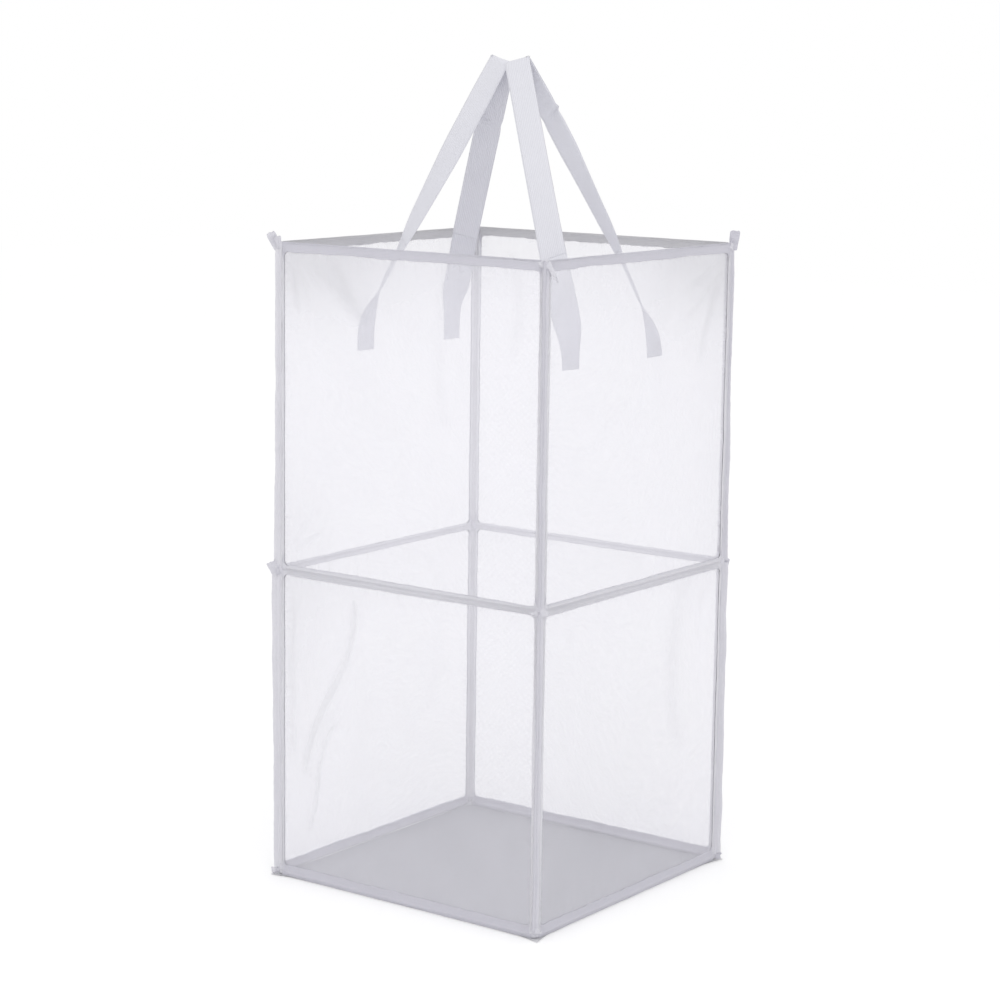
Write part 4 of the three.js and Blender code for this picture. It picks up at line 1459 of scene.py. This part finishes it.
class HAMPER_OT_wire_hoops(bpy.types.Operator):
    """Give the wire hoops and their sleeves their steel"""

    bl_idname = "hamper.wire_hoops"
    bl_label = "Wire hoops"

    def execute(self, context):
        wires = [name for name in frame["nodes"] if name.endswith(("_hoop", "_crimp_sleeve"))]
        if len(wires) != 2 * len(CELLS):
            raise RuntimeError(f"the frame holds {len(wires)} hoops and sleeves, not {2 * len(CELLS)}")
        for name in wires:
            finish(frame["nodes"][name], spring_wire)
        return {"FINISHED"}


class HAMPER_OT_stage(bpy.types.Operator):
    """Set the pale floor, the soft light and the camera"""

    bl_idname = "hamper.stage"
    bl_label = "Stage"

    def execute(self, context):
        floor_and_sky(context.scene)
        lamp_and_camera(context.scene)
        return {"FINISHED"}


# ---------------------------------------------------------------- the stage

FLOOR_REACH = 6.0
FLOOR_LEVEL = -0.2 * MM
LAMP_PLACE, LAMP_AIM, LAMP_SIDE = Vector((1.3, -1.75, 2.1)), Vector((0, 0, 0.35)), 1.6
# The camera that the photograph was taken with: its place, and in degrees how far it turns to the
# left, looks down and leans to one side
CAMERA_PLACE = (1.449, -1.9828, 0.7833)
CAMERA_ANGLES = (36.268, 9.764, 0.789)


def seen_directly(tree):
    """One for rays from the camera, in a mirror or through glass, and nothing for light."""
    path = put(tree, "ShaderNodeLightPath").outputs
    seen = maths(tree, "MAXIMUM", path["Is Camera Ray"], path["Is Glossy Ray"])
    return maths(tree, "MAXIMUM", seen, path["Is Transmission Ray"])


def floor_and_sky(scene):
    """A white floor that keeps the shadow, and an even sky that looks white."""
    ends = ((-1, -1), (1, -1), (1, 1), (-1, 1))
    corners = [(x * FLOOR_REACH, y * FLOOR_REACH, FLOOR_LEVEL) for x, y in ends]
    floor = new_piece("floor", corners, [(0, 1, 2, 3)])
    finish(floor, pale_floor)
    world = bpy.data.worlds.new("white_room")
    world.use_nodes = True
    tree = world.node_tree
    background = tree.nodes["Background"].inputs
    background["Color"].default_value = (1, 1, 1, 1)
    strengths = {"Factor": seen_directly(tree), "A": held("stage").sky, "B": 1.0}
    tree.links.new(put(tree, "ShaderNodeMix", strengths).outputs["Result"], background["Strength"])
    scene.world = world


def lamp_and_camera(scene):
    """One large soft lamp above the camera, and the camera at the photograph's angle."""
    lamp = bpy.data.lights.new("large lamp", "AREA")
    lamp.shape = "RECTANGLE"
    lamp.size = lamp.size_y = LAMP_SIDE
    lamp.energy = held("stage").lamp
    holder = bpy.data.objects.new("large_lamp", lamp)
    facing = (LAMP_AIM - LAMP_PLACE).to_track_quat("-Z", "Y")
    holder.matrix_world = Matrix.LocRotScale(LAMP_PLACE, facing, None)
    scene.collection.objects.link(holder)
    yaw, pitch, roll = (math.radians(angle) for angle in CAMERA_ANGLES)
    level = math.cos(pitch)
    ahead = Vector((-math.sin(yaw) * level, math.cos(yaw) * level, -math.sin(pitch)))
    level_right = Vector((math.cos(yaw), math.sin(yaw), 0))
    level_up = level_right.cross(ahead)
    right = level_right * math.cos(roll) + level_up * math.sin(roll)
    up = level_up * math.cos(roll) - level_right * math.sin(roll)
    camera = bpy.data.cameras.new("camera")
    camera.sensor_width = 36.0
    camera.lens = held("stage").lens
    camera.clip_start = 0.05
    holder = bpy.data.objects.new("camera", camera)
    turn = Matrix((right, up, -ahead)).transposed()
    holder.matrix_world = Matrix.Translation(CAMERA_PLACE) @ turn.to_4x4()
    scene.collection.objects.link(holder)
    scene.camera = holder
    scene.view_settings.view_transform = "Standard"


# ---------------------------------------------------------------- the add-on


class HAMPER_PT_parts(bpy.types.Panel):
    """Lists the pieces of the hamper"""

    bl_label = "Pop up hamper"
    bl_idname = "HAMPER_PT_parts"
    bl_space_type = "VIEW_3D"
    bl_region_type = "UI"
    bl_category = "Hamper"

    def draw(self, context):
        for operator in OPERATORS:
            self.layout.operator(operator.bl_idname)
        for group, kind in GROUPS.items():
            box = self.layout.box()
            for name in kind.__annotations__:
                box.prop(held(group), name)


GROUPS = {
    "sizes": HamperSizes,
    "webbing": HamperWebbing,
    "colours": HamperColours,
    "stage": HamperStage,
}
OPERATORS = (
    HAMPER_OT_stage,
    HAMPER_OT_wire_hoops,
    HAMPER_OT_mesh_panels,
    HAMPER_OT_binding_tapes,
    HAMPER_OT_tape_stitching,
    HAMPER_OT_corner_seams,
    HAMPER_OT_base_cloth,
    HAMPER_OT_handles,
)


def register():
    """Registers the classes and hangs the property groups on the scene."""
    for kind in (*GROUPS.values(), *OPERATORS, HAMPER_PT_parts):
        bpy.utils.register_class(kind)
    for name, kind in GROUPS.items():
        setattr(bpy.types.Scene, f"hamper_{name}", PointerProperty(type=kind))


def unregister():
    """Takes the property groups off the scene and the classes out again."""
    for name in GROUPS:
        delattr(bpy.types.Scene, f"hamper_{name}")
    for kind in reversed((*GROUPS.values(), *OPERATORS, HAMPER_PT_parts)):
        bpy.utils.unregister_class(kind)


def main():
    """Builds the whole hamper."""
    register()
    bpy.ops.hamper.stage()
    bpy.ops.hamper.wire_hoops()
    bpy.ops.hamper.mesh_panels()
    bpy.ops.hamper.binding_tapes()
    bpy.ops.hamper.tape_stitching()
    bpy.ops.hamper.corner_seams()
    bpy.ops.hamper.base_cloth()
    bpy.ops.hamper.handles()


if __name__ == "__main__":
    main()
